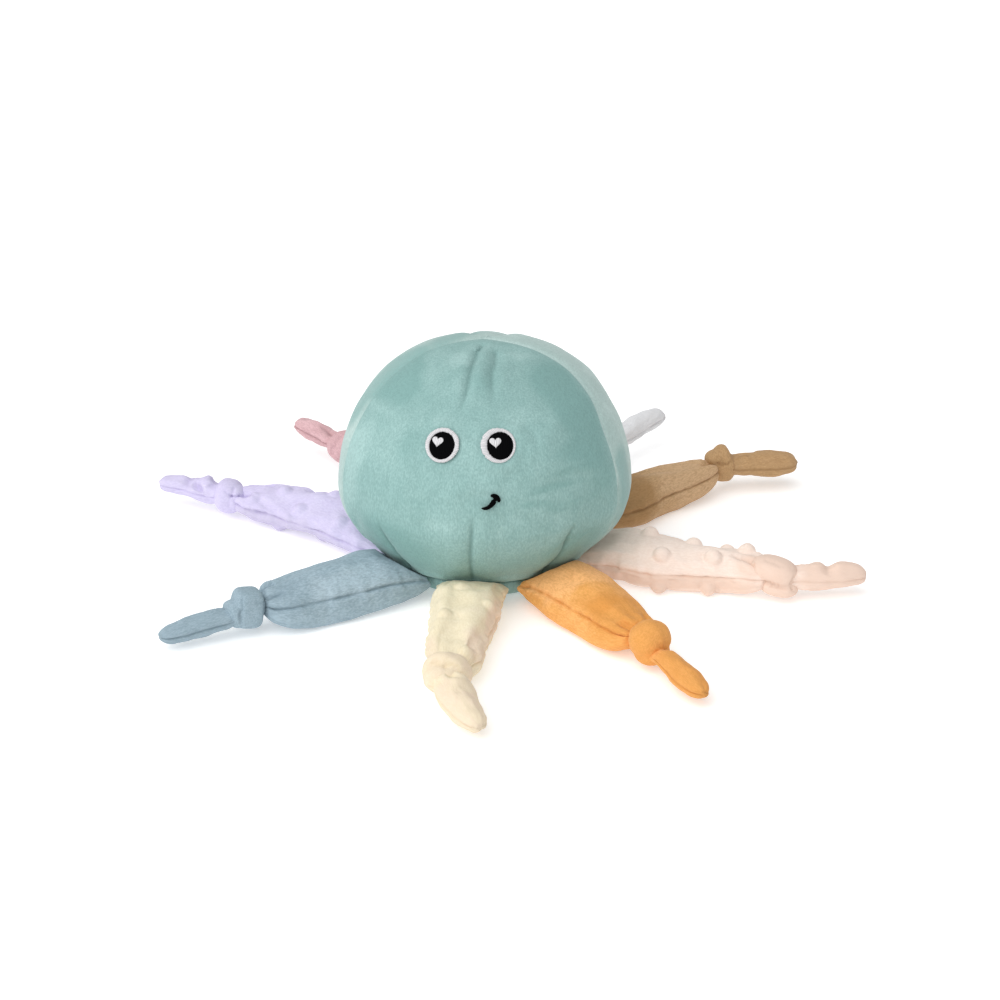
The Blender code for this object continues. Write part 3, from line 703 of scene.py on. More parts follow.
# Patches of turned pile on the head, a few of them painted light and shade: turn, height, half width,
# half height, and how strong; above 0 the patch is paler, below it is deeper
HEAD_LAY_AND_SHADE_PATCHES = (
    (-30, 0.1200, 0.016, 0.010, -0.8),
    (-34, 0.1110, 0.014, 0.014, -0.9),
    (-33, 0.0960, 0.014, 0.015, -0.9),
    (-46, 0.0880, 0.014, 0.006, -0.6),
    (-31, 0.0720, 0.012, 0.013, -0.6),
    (-84, 0.1215, 0.007, 0.014, -0.5),
    # Painted light: this patch makes the crown paler, as if lit from above
    (-120, 0.1250, 0.018, 0.007, 0.5),
    (-50, 0.1255, 0.012, 0.006, 0.5),
    (-66, 0.1080, 0.012, 0.007, 0.5),
    (-117, 0.0940, 0.008, 0.012, -0.5),
    (-128, 0.1120, 0.014, 0.010, -0.4),
    (-112, 0.1060, 0.010, 0.006, 0.4),
    (-150, 0.0780, 0.012, 0.022, 0.6),
    (-150, 0.0500, 0.010, 0.020, 0.5),
    (-42, 0.0360, 0.016, 0.012, -0.7),
    (-78, 0.0760, 0.015, 0.007, 0.4),
    (-168, 0.1150, 0.022, 0.014, -1.3),
    (-174, 0.0970, 0.012, 0.014, -1.1),
    (140, 0.1245, 0.022, 0.010, -0.7),
    # Painted shade: the next three patches darken the head's right side and its low front where it curves under towards
    # the arms
    (-12, 0.0560, 0.010, 0.026, -0.9),
    (-60, 0.0300, 0.030, 0.012, -0.5),
    (-126, 0.0320, 0.026, 0.018, -1.1),
    (-56, 0.0740, 0.015, 0.0028, -0.7),
    (-48, 0.0800, 0.012, 0.0024, -0.6),
    (-64, 0.0675, 0.012, 0.0024, -0.5),
    (-50, 0.0630, 0.014, 0.0030, -0.5),
    (-53, 0.0705, 0.013, 0.0022, 0.4),
    (-60, 0.0860, 0.010, 0.0022, 0.35),
    (-106, 0.0880, 0.011, 0.0026, 0.35),
    (-113, 0.0660, 0.012, 0.0028, -0.35),
    (-104, 0.0560, 0.015, 0.0030, 0.35),
    (60, 0.0900, 0.030, 0.014, -0.5),
    (120, 0.0700, 0.026, 0.018, 0.5),
)


def head_lay_and_shade(co, spun):
    """How far the pile of the head is turned at each point, with patches of painted shade and light."""
    lay = np.zeros(len(co))
    for turn, height, half_wide, half_high, strength in HEAD_LAY_AND_SHADE_PATCHES:
        spot = on_head(turn, height, 0, 0, 0)[0]
        upward = on_head(turn, height, 0, 0.001, 0)[0] - spot
        upward /= np.linalg.norm(upward)
        sideways = np.array([-math.sin(math.radians(turn)), math.cos(math.radians(turn)), 0])
        gap = co - spot
        off = np.hypot(gap @ sideways / half_wide, gap @ upward / half_high)
        near = np.linalg.norm(gap, axis=1) < 3 * max(half_wide, half_high)
        lay += strength * np.clip((1.5 - off) / 1.0, 0, 1) * near
    past = np.degrees(np.arctan2(spun[:, 1], spun[:, 0])) - FACE_TURN - FRONT_ARC / 2
    back = np.clip(past / 3, 0, 1) * np.clip((110 - past) / 40, 0, 1) * np.clip((co[:, 2] - 0.075) / 0.02, 0, 1)
    lay = lay + back * np.maximum(0.25 - lay, 0)
    edge = np.radians(past) * np.hypot(spun[:, 0], spun[:, 1]) + 0.0006
    return lay + 1.3 * np.exp(-((edge / 0.0012) ** 2)) * (co[:, 2] > 0.06) * (np.abs(past) < 40)


def fuller_side(co):
    """The head is fuller on its right side, most of all near the top, and flat over the crown."""
    radius = np.maximum(np.hypot(co[:, 0], co[:, 1]), 1e-6)
    right = np.clip(co[:, 0] / radius, 0, 1)
    right = right * right * (3 - 2 * right) * np.clip(radius / 0.020, 0, 1)
    low = np.clip((co[:, 2] - 0.018) / 0.027, 0, 1)
    high = np.clip((co[:, 2] - 0.088) / 0.020, 0, 1)
    co[:, 0] += right * (0.0020 * low + 0.0024 * high * high * (3 - 2 * high))
    flat = np.exp(-(((radius - 0.033) / 0.014) ** 2)) * np.clip((co[:, 2] - 0.095) / 0.015, 0, 1)
    co[:, 2] += 0.0007 * np.exp(-((radius / 0.035) ** 2)) * (co[:, 2] > 0.09) + 0.0010 * flat
    return co


def head_radius(height):
    """How far the head's cloth stands from the axis at this height."""
    head = sizes("head")
    widest = head.width / 2
    height = np.asarray(height, float)
    up = np.clip((height - head.widest_height) / (head.height - head.widest_height), 0, 1)
    down = np.clip((head.widest_height - height) / (head.widest_height - head.seam_height), 0, 1)
    above = widest * (1 - up ** UPPER_POWERS[0]) ** (1 / UPPER_POWERS[1])
    swell = (1 - down ** LOWER_POWERS[0]) ** (1 / LOWER_POWERS[1])
    below = head.seam_radius + (widest - head.seam_radius) * swell
    return np.where(height >= head.widest_height, above, below)


def head_profile():
    """The head's outline as (radius, height), from the bottom seam to the crown."""
    head = sizes("head")
    points = []
    for i in range(LOWER_RINGS):
        share = (1 - i / LOWER_RINGS) ** 1.15
        height = head.widest_height - (head.widest_height - head.seam_height) * share
        points.append((float(head_radius(height)), height))
    for i in range(UPPER_RINGS):
        angle = math.pi / 2 * i / UPPER_RINGS
        radius = head.width / 2 * math.cos(angle) ** (2 / UPPER_POWERS[1])
        rise = math.sin(angle) ** (2 / UPPER_POWERS[0])
        points.append((radius, head.widest_height + (head.height - head.widest_height) * rise))
    return points


def slid_back(co):
    """Slides the crown, where the two panels meet, a little way back over the head's own shape."""
    head = sizes("head")
    angle = np.linspace(0, math.pi / 2, 600)
    radii = head.width / 2 * np.cos(angle) ** (2 / UPPER_POWERS[1])
    heights = head.widest_height + (head.height - head.widest_height) * np.sin(angle) ** (2 / UPPER_POWERS[0])
    start = head.widest_height + 0.5 * (head.height - head.widest_height)
    share = np.clip((co[:, 2] - start) / (head.height - start), 0, 1)
    moved = co.copy()
    moved[:, 1] += head.crown_back * share * share * (3 - 2 * share)
    radius = np.hypot(moved[:, 0], moved[:, 1])
    moved[:, 2] = np.where(share > 0, np.interp(-radius, -radii, heights), co[:, 2])
    return moved


def on_head(turn, height, across, up, lift):
    """The points on the head's cloth this far round and up from a place, lifted off it."""
    steps = 8
    step = 1e-5
    across, up, lift = (np.atleast_1d(np.asarray(value, float)) for value in (across, up, lift))
    height = height + 0 * up

    def slope(z):
        return (head_radius(z + step) - head_radius(z - step)) / (2 * step)

    for _ in range(steps):
        height = height + up / steps / np.hypot(1, slope(height))
    radius = head_radius(height)
    lean = slope(height)
    angle = math.radians(turn) + across / radius
    stand = lift / np.hypot(1, lean)
    out = radius + stand
    return np.stack([out * np.cos(angle), out * np.sin(angle), height - stand * lean], axis=1)


def fold_points(fold):
    """The fold's line as closely spaced points on the head, each with its depth's share."""
    turns = [p[0] for p in fold]
    heights = [p[1] for p in fold]
    marks = np.linspace(0, len(fold) - 1, 48)
    spots = []
    for mark in marks:
        turn = float(eased(range(len(fold)), turns, mark))
        height = float(eased(range(len(fold)), heights, mark))
        spots.append(turned(turn) * float(head_radius(height)) + Vector((0, 0, height)))
    return np.array(spots), marks / marks[-1]


def nearest(points, line, reach=0.025, out=None):
    """For each point, how far the nearest spot of the line is, and that spot's index.

    Where the surface's normals are given, its distance from the line across the cloth is left out.
    """
    best = np.full(len(points), 1.0)
    index = np.zeros(len(points), int)
    near = np.all((points > line.min(axis=0) - reach) & (points < line.max(axis=0) + reach), axis=1)
    gaps = np.linalg.norm(points[near][:, None, :] - line[None, :, :], axis=2)
    index[near] = gaps.argmin(axis=1)
    best[near] = gaps.min(axis=1)
    if out is not None:
        away = points[near] - line[index[near]]
        away -= out[near] * (away * out[near]).sum(axis=1)[:, None]
        best[near] = np.linalg.norm(away, axis=1)
    return best, index


def eye_places():
    """The turn and height of the middle of each eye, left one first."""
    face = sizes("face")
    half = math.degrees(face.eye_pitch / 2 / float(head_radius(face.left_eye_height)))
    return (FACE_TURN - half, face.left_eye_height), (FACE_TURN + half, face.right_eye_height)


def head_relief(co, out, spun, seam_turns):
    """How far each point of the head's cloth sinks at the folds, seams and embroidery, and the painted shade along the
    folds' crisp lines.
    """
    depth = np.zeros(len(co))
    crease = np.zeros(len(co))
    for line, deep, half, crisp in HEAD_FOLDS:
        spots, marks = fold_points(line)
        gap, index = nearest(co, spots, 0.012, out)
        share = marks[index]
        fade = np.clip((1 - share) / 0.4, 0, 1) * np.where(line[0][1] > 0.1, np.clip(share / 0.25, 0, 1), 1)
        pull = 1 + 0.5 * mottle(np.stack([marks[index] * 0.05, gap * 0.4, gap * 0], 1), 0.006, line[0][0])
        sink = deep * pull * np.exp(-((gap / half) ** 2)) + crisp * np.exp(-((gap / 0.0011) ** 2))
        shoulder = 0.35 * deep * pull * np.exp(-(((gap - 2.2 * half) / (1.4 * half)) ** 2))
        depth += fade * (sink - shoulder)
        # Painted shade along the fold's crisp line
        painted_shade = min(1, crisp / 0.0010) * np.clip(fade * 1.6, 0, 1)
        crease = np.maximum(crease, painted_shade * np.exp(-((gap / 0.0010) ** 2)))
    radius = np.hypot(spun[:, 0], spun[:, 1])
    turn = np.degrees(np.arctan2(spun[:, 1], spun[:, 0]))
    for seam in seam_turns:
        off = np.abs((turn - seam + 180) % 360 - 180)
        gap = np.radians(off) * radius
        line = 0.0007 * np.exp(-((gap / 0.0012) ** 2)) + 0.0004 * np.exp(-((gap / 0.0040) ** 2))
        depth += line * np.where(off < 90, 1, 0)
    face = sizes("face")
    for turn, height in eye_places():
        middle = on_head(turn, height, 0, 0, 0)[0]
        gap = np.linalg.norm(co - middle, axis=1) / (face.eye_width / 2)
        depth += 0.0006 * np.clip((1.22 - gap) / 0.25, 0, 1)
    return depth, crease


class OCTOPUS_OT_head(bpy.types.Operator):
    """Make the front and back cloth of the stuffed head"""

    bl_idname = "octopus.head"
    bl_label = "Head"

    def execute(self, context):
        head = sizes("head")
        bm = bmesh.new()
        start = turned(FACE_TURN - FRONT_ARC / 2)
        verts = [bm.verts.new(start * radius + Vector((0, 0, height))) for radius, height in head_profile()]
        for low, high in zip(verts, verts[1:]):
            bm.edges.new((low, high))
        bmesh.ops.spin(
            bm,
            geom=bm.verts[:] + bm.edges[:],
            cent=(0, 0, 0),
            axis=(0, 0, 1),
            angle=2 * math.pi,
            steps=HEAD_STEPS,
            use_merge=True,
        )
        bmesh.ops.remove_doubles(bm, verts=bm.verts, dist=1e-6)
        for crown in (True, False):
            loop = [e for e in bm.edges if e.is_boundary and (e.verts[0].co.z > head.widest_height) == crown]
            filled = bmesh.ops.edgeloop_fill(bm, edges=loop)
            bmesh.ops.poke(bm, faces=filled["faces"])
        shell = new_object("head_shell", mesh_from(bm, "head_shell"), look("teal_cloth"))
        co = coordinates(shell.data)
        poles = np.hypot(co[:, 0], co[:, 1]) < 1e-6
        write_attribute(shell.data, "spun", co * np.array([1, 1, 0]))
        co = slid_back(co)
        move_to(shell.data, co)
        pole_places = co[poles, :2]
        seam_turns = (FACE_TURN - FRONT_ARC / 2, FACE_TURN + FRONT_ARC / 2)
        depth, _ = head_relief(co, normals(shell.data), co, ())
        held = np.where(co[:, 2] < head.seam_height + 0.004, 1.0, 0.0)
        for turn, height in eye_places():
            middle = on_head(turn, height, 0, 0, 0)[0]
            held = np.maximum(held, np.linalg.norm(co - middle, axis=1) < 0.012)
        puff_up(shell, 2.0, 0.0015, held, np.clip(depth / 0.0015, 0, 1), 0.12, 10)
        co = coordinates(shell.data)
        co[poles, :2] = pole_places
        move_to(shell.data, co)
        mesh = subdivide(shell, 2)
        co = coordinates(mesh)
        poles = np.flatnonzero(poles)
        co[poles, :2] = pole_places
        spun = read_attribute(mesh, "spun")
        spun[poles] = 0
        write_attribute(mesh, "spun", spun)
        # The crease mask is painted shade along the folds' crisp lines, and the lay mask adds painted shade and light
        # to the turned pile
        sunk, crease = head_relief(co, normals(mesh), spun, seam_turns)
        write_attribute(mesh, "crease", crease)
        write_attribute(mesh, "lay", head_lay_and_shade(co, spun))
        co = fuller_side(co)
        move_to(mesh, co)
        lumps = 0.0013 * mottle(co, 0.050, 3) + 0.0004 * mottle(co, 0.018, 4)
        edge = np.clip((co[:, 2] - head.seam_height) / 0.008, 0, 1)
        out = normals(mesh)
        out[poles, :2] = 0
        move_to(mesh, co + out * ((lumps - sunk) * edge)[:, None])
        nap = coordinates(mesh)[:, [2, 0, 1]]
        write_attribute(mesh, "nap", nap)
        pile(mesh, nap, 0.00006 * edge, 1)
        self.part_panels(shell, poles)
        return {"FINISHED"}

    def part_panels(self, shell, poles):
        """Parts the shell at its two side seams into the face's panel and the back's, each closed within."""
        half = math.radians(FRONT_ARC / 2)
        for name, cloth, front in (("head_front", "teal_cloth", True), ("head_back", "pale_teal_cloth", False)):
            bm = bmesh.new()
            bm.from_mesh(shell.data)
            bm.verts.ensure_lookup_table()
            spun = bm.verts.layers.float_vector["spun"]
            ends = [bm.verts[int(i)] for i in poles]
            gone = []
            for face in bm.faces:
                middle = sum((vert[spun] for vert in face.verts), Vector())
                if (abs(math.atan2(middle.x, -middle.y)) < half) != front:
                    gone.append(face)
            bmesh.ops.delete(bm, geom=gone, context="FACES")
            for face in bm.faces:
                face.smooth = True
            outline = [edge for edge in bm.edges if edge.is_boundary]
            core = bm.edges.new(ends)
            for left in (True, False):
                side = [edge for edge in outline if (edge.verts[0].co.x + edge.verts[1].co.x < 0) == left]
                bmesh.ops.edgeloop_fill(bm, edges=[*side, core])
                for edge in side:
                    edge.smooth = False
            piece = new_object(name, mesh_from(bm, name), look(cloth))
            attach(piece, "root")
            if front:
                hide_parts("head_front_panel", "head_stuffing")
            else:
                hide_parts("head_back_panel")
        bpy.data.objects.remove(shell)


class OCTOPUS_OT_base(bpy.types.Operator):
    """Make the cloth dish under the head"""

    bl_idname = "octopus.base"
    bl_label = "Base"

    def execute(self, context):
        head = sizes("head")
        rim = head.seam_height - 0.0004
        foot = head.seam_radius - 0.0075
        outline = [(0.0, 0.0004), (foot * 0.4, 0.0003), (foot * 0.75, 0.0003), (foot, 0.0005)]
        outline += [(foot + 0.0035, 0.0018), (foot + 0.0062, 0.0044), (head.seam_radius - 0.0002, 0.0076)]
        outline.append((head.seam_radius - 0.0004, rim))
        inner = [(head.seam_radius - 0.0022, rim), (foot + 0.0030, 0.0034), (foot * 0.7, 0.0022), (0.0, 0.0022)]
        bm = bmesh.new()
        verts = [bm.verts.new((radius, 0, height)) for radius, height in outline + inner]
        for low, high in zip(verts, verts[1:]):
            bm.edges.new((low, high))
        bmesh.ops.spin(
            bm,
            geom=bm.verts[:] + bm.edges[:],
            cent=(0, 0, 0),
            axis=(0, 0, 1),
            angle=2 * math.pi,
            steps=96,
            use_merge=True,
        )
        bmesh.ops.remove_doubles(bm, verts=bm.verts, dist=1e-5)
        piece = new_object("base_cloth", mesh_from(bm, "base_cloth"), look("teal_cloth"))
        mesh = subdivide(piece, 2)
        co = coordinates(mesh)
        nap = co[:, [2, 0, 1]]
        write_attribute(mesh, "nap", nap)
        pile(mesh, nap, 0.00006, 2)
        above_floor(mesh, 0)
        mesh.shade_smooth()
        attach(piece, "root")
        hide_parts("base_panel")
        return {"FINISHED"}


# ---- The face ----


def heart_edge(angle):
    """A heart's edge, as shares of its width: two lobes over a point."""
    mark = math.pi / 2 - angle
    side = np.sin(mark) ** 3 / 2
    up = (13 * np.cos(mark) - 5 * np.cos(2 * mark) - 2 * np.cos(3 * mark) - np.cos(4 * mark)) / 32
    return side, up


def stitch_ring(name, turn, height, width, tallness, inner_width, inner_tallness, shift):
    """A ring of radial satin stitches on the head, its edges uneven where the threads end."""
    face = sizes("face")
    bm = bmesh.new()
    section = bmesh.ops.create_circle(bm, segments=12, radius=1)["verts"]
    bmesh.ops.rotate(bm, verts=section, matrix=Matrix.Rotation(math.pi / 2, 3, "X"))
    bmesh.ops.translate(bm, verts=section, vec=(2, 0, 0))
    bmesh.ops.spin(
        bm, geom=bm.verts[:] + bm.edges[:], cent=(0, 0, 0), axis=(0, 0, 1), angle=2 * math.pi, steps=220, use_merge=True
    )
    bmesh.ops.remove_doubles(bm, verts=bm.verts, dist=1e-5)
    spots = np.array([vert.co for vert in bm.verts])
    angle = np.arctan2(spots[:, 1], spots[:, 0])
    out = np.hypot(spots[:, 0], spots[:, 1]) - 2
    ends = mottle(np.stack([np.cos(angle) * 34, np.sin(angle) * 34, angle * 0 + turn], 1), 1)
    tips = mottle(np.stack([np.cos(angle) * 15, np.sin(angle) * 15, out * 0.1 + turn + 5], 1), 1)
    share = np.clip((out * (1 + 0.28 * ends + 0.16 * tips) + 1) / 2, -0.2, 1.25)
    across = (np.cos(angle) * inner_width / 2 + shift) * (1 - share) + np.cos(angle) * width / 2 * share
    up = np.sin(angle) * (inner_tallness / 2 * (1 - share) + tallness / 2 * share) - face.pupil_drop * (1 - share)
    thread = 1 + 0.16 * np.cos(angle * 100 + 2 * ends) + 0.12 * ends
    lift = face.stitch_height * (0.72 * spots[:, 2] * thread + 0.05)
    for vert, spot in zip(bm.verts, on_head(turn, height, across, up, lift)):
        vert.co = spot
    mesh = mesh_from(bm, name)
    write_attribute(mesh, "nap", np.stack([angle * width / 2, out * MM, angle * 0], 1))
    return mesh


def stitch_pad(name, turn, height, outline, rise, steps=96, rings=40):
    """A domed patch of stitches on the head; outline gives the edge at an angle, from the middle."""
    bm = bmesh.new()
    bmesh.ops.create_uvsphere(bm, u_segments=steps, v_segments=rings, radius=1)
    spots = np.array([vert.co for vert in bm.verts])
    angle = np.arctan2(spots[:, 1], spots[:, 0])
    share = np.minimum(1, np.hypot(spots[:, 0], spots[:, 1]))
    edge_x, edge_y, middle_x, middle_y = outline(angle)
    ends = mottle(np.stack([np.cos(angle) * 14, np.sin(angle) * 14, angle * 0 + turn], 1), 1)
    across = middle_x + edge_x * share * (1 + 0.02 * ends)
    up = middle_y + edge_y * share * (1 + 0.02 * ends)
    dome = (1 - share**4) ** 0.5
    ridges = 1 + 0.08 * np.sin(across / 0.00022) * (1 - share**6)
    lift = np.where(spots[:, 2] > 0, rise * dome * ridges, -0.0004 * dome)
    for vert, spot in zip(bm.verts, on_head(turn, height, across, up, lift)):
        vert.co = spot
    mesh = mesh_from(bm, name)
    write_attribute(mesh, "nap", np.stack([across, up, angle * 0], 1))
    return mesh


def add_stitches(name, mesh, slot, replaced):
    piece = new_object(name, mesh, look(slot))
    mesh.shade_smooth()
    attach(piece, "root")
    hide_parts(replaced)


# Where the heart sits in the pupil, across and up, and how far the ring's stitches reach under the pupil
HEART_PLACE = (-0.00235, 0.0015)
RING_UNDER = 0.0004


class OCTOPUS_OT_eyes(bpy.types.Operator):
    """Embroider the two eyes: a white ring, a black pupil and a small heart"""

    bl_idname = "octopus.eyes"
    bl_label = "Eyes"

    def execute(self, context):
        face = sizes("face")
        shifts = (0.0, face.right_pupil_shift)
        for side, (turn, height), shift in zip(("left", "right"), eye_places(), shifts):
            ring = stitch_ring(
                f"{side}_eye_ring",
                turn,
                height,
                face.eye_width,
                face.eye_tallness,
                face.pupil_width - RING_UNDER,
                face.pupil_tallness - RING_UNDER,
                shift,
            )
            add_stitches(f"{side}_eye_ring", ring, "white_thread", f"{side}_eye_white")

            def pupil_edge(angle, shift=shift):
                return (
                    np.cos(angle) * face.pupil_width / 2,
                    np.sin(angle) * face.pupil_tallness / 2,
                    shift,
                    -face.pupil_drop,
                )

            pupil = stitch_pad(f"{side}_pupil", turn, height, pupil_edge, face.stitch_height * 0.75)
            add_stitches(f"{side}_pupil", pupil, "black_thread", f"{side}_eye_pupil")

            def heart_outline(angle, shift=shift):
                x, y = heart_edge(angle)
                return x * face.heart_width, y * face.heart_width, shift + HEART_PLACE[0], HEART_PLACE[1]

            heart = stitch_pad(f"{side}_heart", turn, height, heart_outline, face.stitch_height * 1.25)
            add_stitches(f"{side}_heart", heart, "white_thread", f"{side}_eye_heart")
        return {"FINISHED"}


# How far the middle of the smile is to one side of the face's middle
MOUTH_ASIDE = 0.0112
# The smile and the short stitch across its end, in millimetres: (across, up, half width) from its middle
SMILE = (
    (-4.5, -3.7, 0.35), (-3.2, -3.9, 0.7), (-1.6, -3.7, 1.0), (0.0, -2.8, 1.2), (1.4, -1.3, 1.4), (2.5, 0.7, 1.5)
)
SMILE_END = ((0.3, 2.4, 0.6), (1.2, 2.7, 0.9), (2.4, 2.4, 1.35), (3.6, 1.5, 1.45), (4.5, 0.3, 1.1), (4.8, -0.9, 0.6))


def stroke(bm, line, steps=36):
    """A rounded stroke of stitches along the line, as a drawn-out ball in flat coordinates."""
    made = bmesh.ops.create_uvsphere(bm, u_segments=14, v_segments=steps, radius=1)

    def curve_at(mark, i):
        return eased(range(len(line)), [point[i] for point in line], mark)

    for vert in made["verts"]:
        share = (1 - vert.co.z) / 2
        mark = share * (len(line) - 1)
        x, y, half = (float(curve_at(mark, i)) for i in range(3))
        ahead = min(mark + 0.05, len(line) - 1)
        behind = max(mark - 0.05, 0)
        along = Vector([float(curve_at(ahead, i) - curve_at(behind, i)) for i in (0, 1)]).normalized()
        ring = math.hypot(vert.co.x, vert.co.y)
        full = min(1, ring * 1.6)
        angle = math.atan2(vert.co.y, vert.co.x)
        side = math.cos(angle) * half * full
        rise = math.sin(angle) * 0.8 * full
        vert.co = Vector((x - along.y * side, y + along.x * side, rise)) * MM


class OCTOPUS_OT_mouth(bpy.types.Operator):
    """Embroider the smile, to one side of the middle"""

    bl_idname = "octopus.mouth"
    bl_label = "Mouth"

    def execute(self, context):
        face = sizes("face")
        bm = bmesh.new()
        stroke(bm, SMILE)
        stroke(bm, SMILE_END)
        piece = new_object("mouth_stitches", mesh_from(bm, "mouth_stitches"), look("black_thread"))
        mesh = remesh(piece, 0.00022)
        smooth_shape(mesh, 2)
        co = coordinates(mesh)
        turn = FACE_TURN + math.degrees(MOUTH_ASIDE / float(head_radius(face.mouth_height)))
        move_to(mesh, on_head(turn, face.mouth_height, co[:, 0], co[:, 1], co[:, 2] * 0.9 + 0.0001))
        write_attribute(mesh, "nap", np.stack([co[:, 0] + co[:, 1], co[:, 1], co[:, 2]], axis=1))
        mesh.shade_smooth()
        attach(piece, "root")
        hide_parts("mouth")
        return {"FINISHED"}


# ---- The arms ----

SLEEVE_SIDES = 48
SLEEVE_ROWS = 44


def knot_point(arm):
    return turned(arm.knot_turn) * arm.knot_reach + Vector((0, 0, arm.knot_height))


class Centreline:
    """A level cubic curve from one point to another, leaving and arriving in given directions."""

    def __init__(self, start, start_heading, end, end_heading):
        stretch = (end - start).length / 3
        points = (start, start + start_heading * stretch, end - end_heading * stretch, end)
        self.points = [np.array(p, float) for p in points]
        marks = self.at(np.linspace(0, 1, 50))[0]
        self.length = float(np.linalg.norm(np.diff(marks, axis=0), axis=1).sum())

    def at(self, share):
        """Places, and the level directions along and across, at these shares of the way."""
        a, b, c, d = self.points
        t = np.asarray(share, float)[:, None]
        r = 1 - t
        place = a * r**3 + b * 3 * r**2 * t + c * 3 * r * t**2 + d * t**3
        along = (b - a) * r**2 + (c - b) * 2 * r * t + (d - c) * t**2
        along[:, 2] = 0
        along /= np.linalg.norm(along, axis=1)[:, None]
        across = np.stack([-along[:, 1], along[:, 0], np.zeros(len(t))], axis=1)
        return place, along, across


def unit_tube(sides, rows):
    """A ball of rings from pole to pole, with each point's row and its angle round it."""
    bm = bmesh.new()
    bmesh.ops.create_uvsphere(bm, u_segments=sides, v_segments=rows, radius=1)
    rows_at = np.array([math.acos(max(-1, min(1, v.co.z))) / math.pi * rows for v in bm.verts]).round()
    angles = np.array([math.atan2(v.co.y, v.co.x) for v in bm.verts])
    return bm, rows_at, angles


def nap_reach():
    """The radius of the circle that two of an arm's three nap numbers run round on."""
    return sizes("arms").width / 3


def tube_piece(name, arm, bm, co, share, angles, pole, length):
    """The tube laid on the points co as a piece of this arm, with its nap and its share of the way written on it."""
    for vert, spot in zip(bm.verts, co):
        vert.co = spot
    piece = new_object(name, mesh_from(bm, name), look(f"{arm.name}_cloth"))
    reach = nap_reach() * np.where(pole, 0, 1)
    nap = np.stack([share * length, np.cos(angles) * reach, np.sin(angles) * reach], axis=1)
    write_attribute(piece.data, "nap", nap)
    write_attribute(piece.data, "share", share)
    return piece


def under_head(co, gap):
    """Keeps points below the head's rounded underside, as cloth pressed against it."""
    head = sizes("head")
    heights = np.linspace(head.seam_height, head.widest_height, 80)
    radii = head_radius(heights)
    radius = np.hypot(co[:, 0], co[:, 1])
    limit = np.interp(radius, radii, heights, right=1.0) - gap
    over = radius < head.width / 2 * 0.999
    excess = np.where(over, co[:, 2] - limit, -1)
    co[:, 2] -= np.where(excess > 0, excess, 0)
    return co


def in_own_sector(co, arm):
    """Keeps an arm clear of its neighbours where they are sewn side by side."""
    radius = np.hypot(co[:, 0], co[:, 1])
    turn = np.degrees(np.arctan2(co[:, 1], co[:, 0]))
    off = (turn - arm.root_turn + 180) % 360 - 180
    most = 22.5 - np.degrees(0.0004 / radius)
    near = np.clip((0.068 - radius) / 0.006, 0, 1)
    kept = np.clip(off, -most, most)
    off = off + (kept - off) * near
    angle = np.radians(arm.root_turn + off)
    co[:, 0] = radius * np.cos(angle)
    co[:, 1] = radius * np.sin(angle)
    return co


def sleeve_shape(arm, share, angle):
    """Where each point of the arm's tube lies, from its place along the arm and its angle round it."""
    head = sizes("head")
    arms = sizes("arms")
    outward = turned(arm.root_turn)
    heading = turned(arm.knot_heading)
    start = outward * (head.seam_radius - 0.001)
    knot = knot_point(arm)
    end = knot - heading * (arms.knot_radius * (0.35 if arm.dotted else 0.65))
    end.z = 0
    line = Centreline(start, outward, end, heading)
    place, _, across = line.at(share)
    place = place + across * eased(BEND_PLACES, arm.bends, share)[:, None]
    root_half = head.seam_radius * math.tan(math.pi / len(ARMS)) - 0.0004
    own = np.clip(share / 0.16, 0, 1)
    own = own * own * (3 - 2 * own)
    taper = np.clip((share - 0.25) / 0.68, 0, 1)
    taper = 1 + (arm.end_share - 1) * taper * taper * (3 - 2 * taper)
    full = arms.width / 2 * arm.width_share * taper
    half = (root_half * (1 - own) + full * own) * eased(PLACES, WIDTHS, share)
    level = np.clip(share / 0.3, 0, 1)
    seam = (head.seam_height - 0.0021) * (1 - level) + arms.seam_height * level
    climb = np.clip((share - 0.72) / 0.28, 0, 1) ** 2
    seam = seam * (1 - climb) + arm.knot_height * climb
    top = (arms.top * arm.top_share - arms.seam_height) * eased(PLACES, TOPS, share) * (0.45 + 0.55 * taper)
    under = (arms.seam_height - 0.0004) * eased(PLACES, UNDERS, share)
    under = np.minimum(under, seam - 0.0004)
    side = np.cos(angle)
    rise = np.sin(angle)
    bulge = np.sign(side) * np.abs(side) ** 0.86
    lift = np.where(rise >= 0, top * np.abs(rise) ** 0.95, -under * np.abs(rise) ** 0.72)
    co = place + across * (half * bulge)[:, None]
    co[:, 2] = seam + lift
    return co, line


def make_sleeve(arm):
    """The arm's stuffed tube, from the seam under the head to the knot."""
    bm, rows_at, angles = unit_tube(SLEEVE_SIDES, SLEEVE_ROWS)
    share = rows_at / SLEEVE_ROWS
    share = share - 0.35 / (2 * math.pi) * np.sin(2 * math.pi * share)
    co, line = sleeve_shape(arm, share, angles)
    pole = (rows_at == 0) | (rows_at == SLEEVE_ROWS)
    middle = sleeve_shape(arm, share, np.full(len(share), math.pi / 2))[0]
    below = sleeve_shape(arm, share, np.full(len(share), -math.pi / 2))[0]
    co[pole] = (middle[pole] + below[pole]) / 2
    piece = tube_piece(f"{arm.name}_arm_sleeve", arm, bm, co, share, angles, pole, line.length)
    held = np.clip(1 - share / 0.08, 0, 1) + np.clip((share - 0.93) / 0.05, 0, 1)
    seam_near = np.exp(-((np.abs(np.sin(angles - math.radians(arm.roll))) / 0.16) ** 2)) * np.clip(share / 0.1, 0, 1)
    puff_up(piece, 3.0, 0.0022, np.clip(held, 0, 1), np.clip(seam_near, 0, 1), 0.16 if arm.dotted else 0.10)
    return piece, line


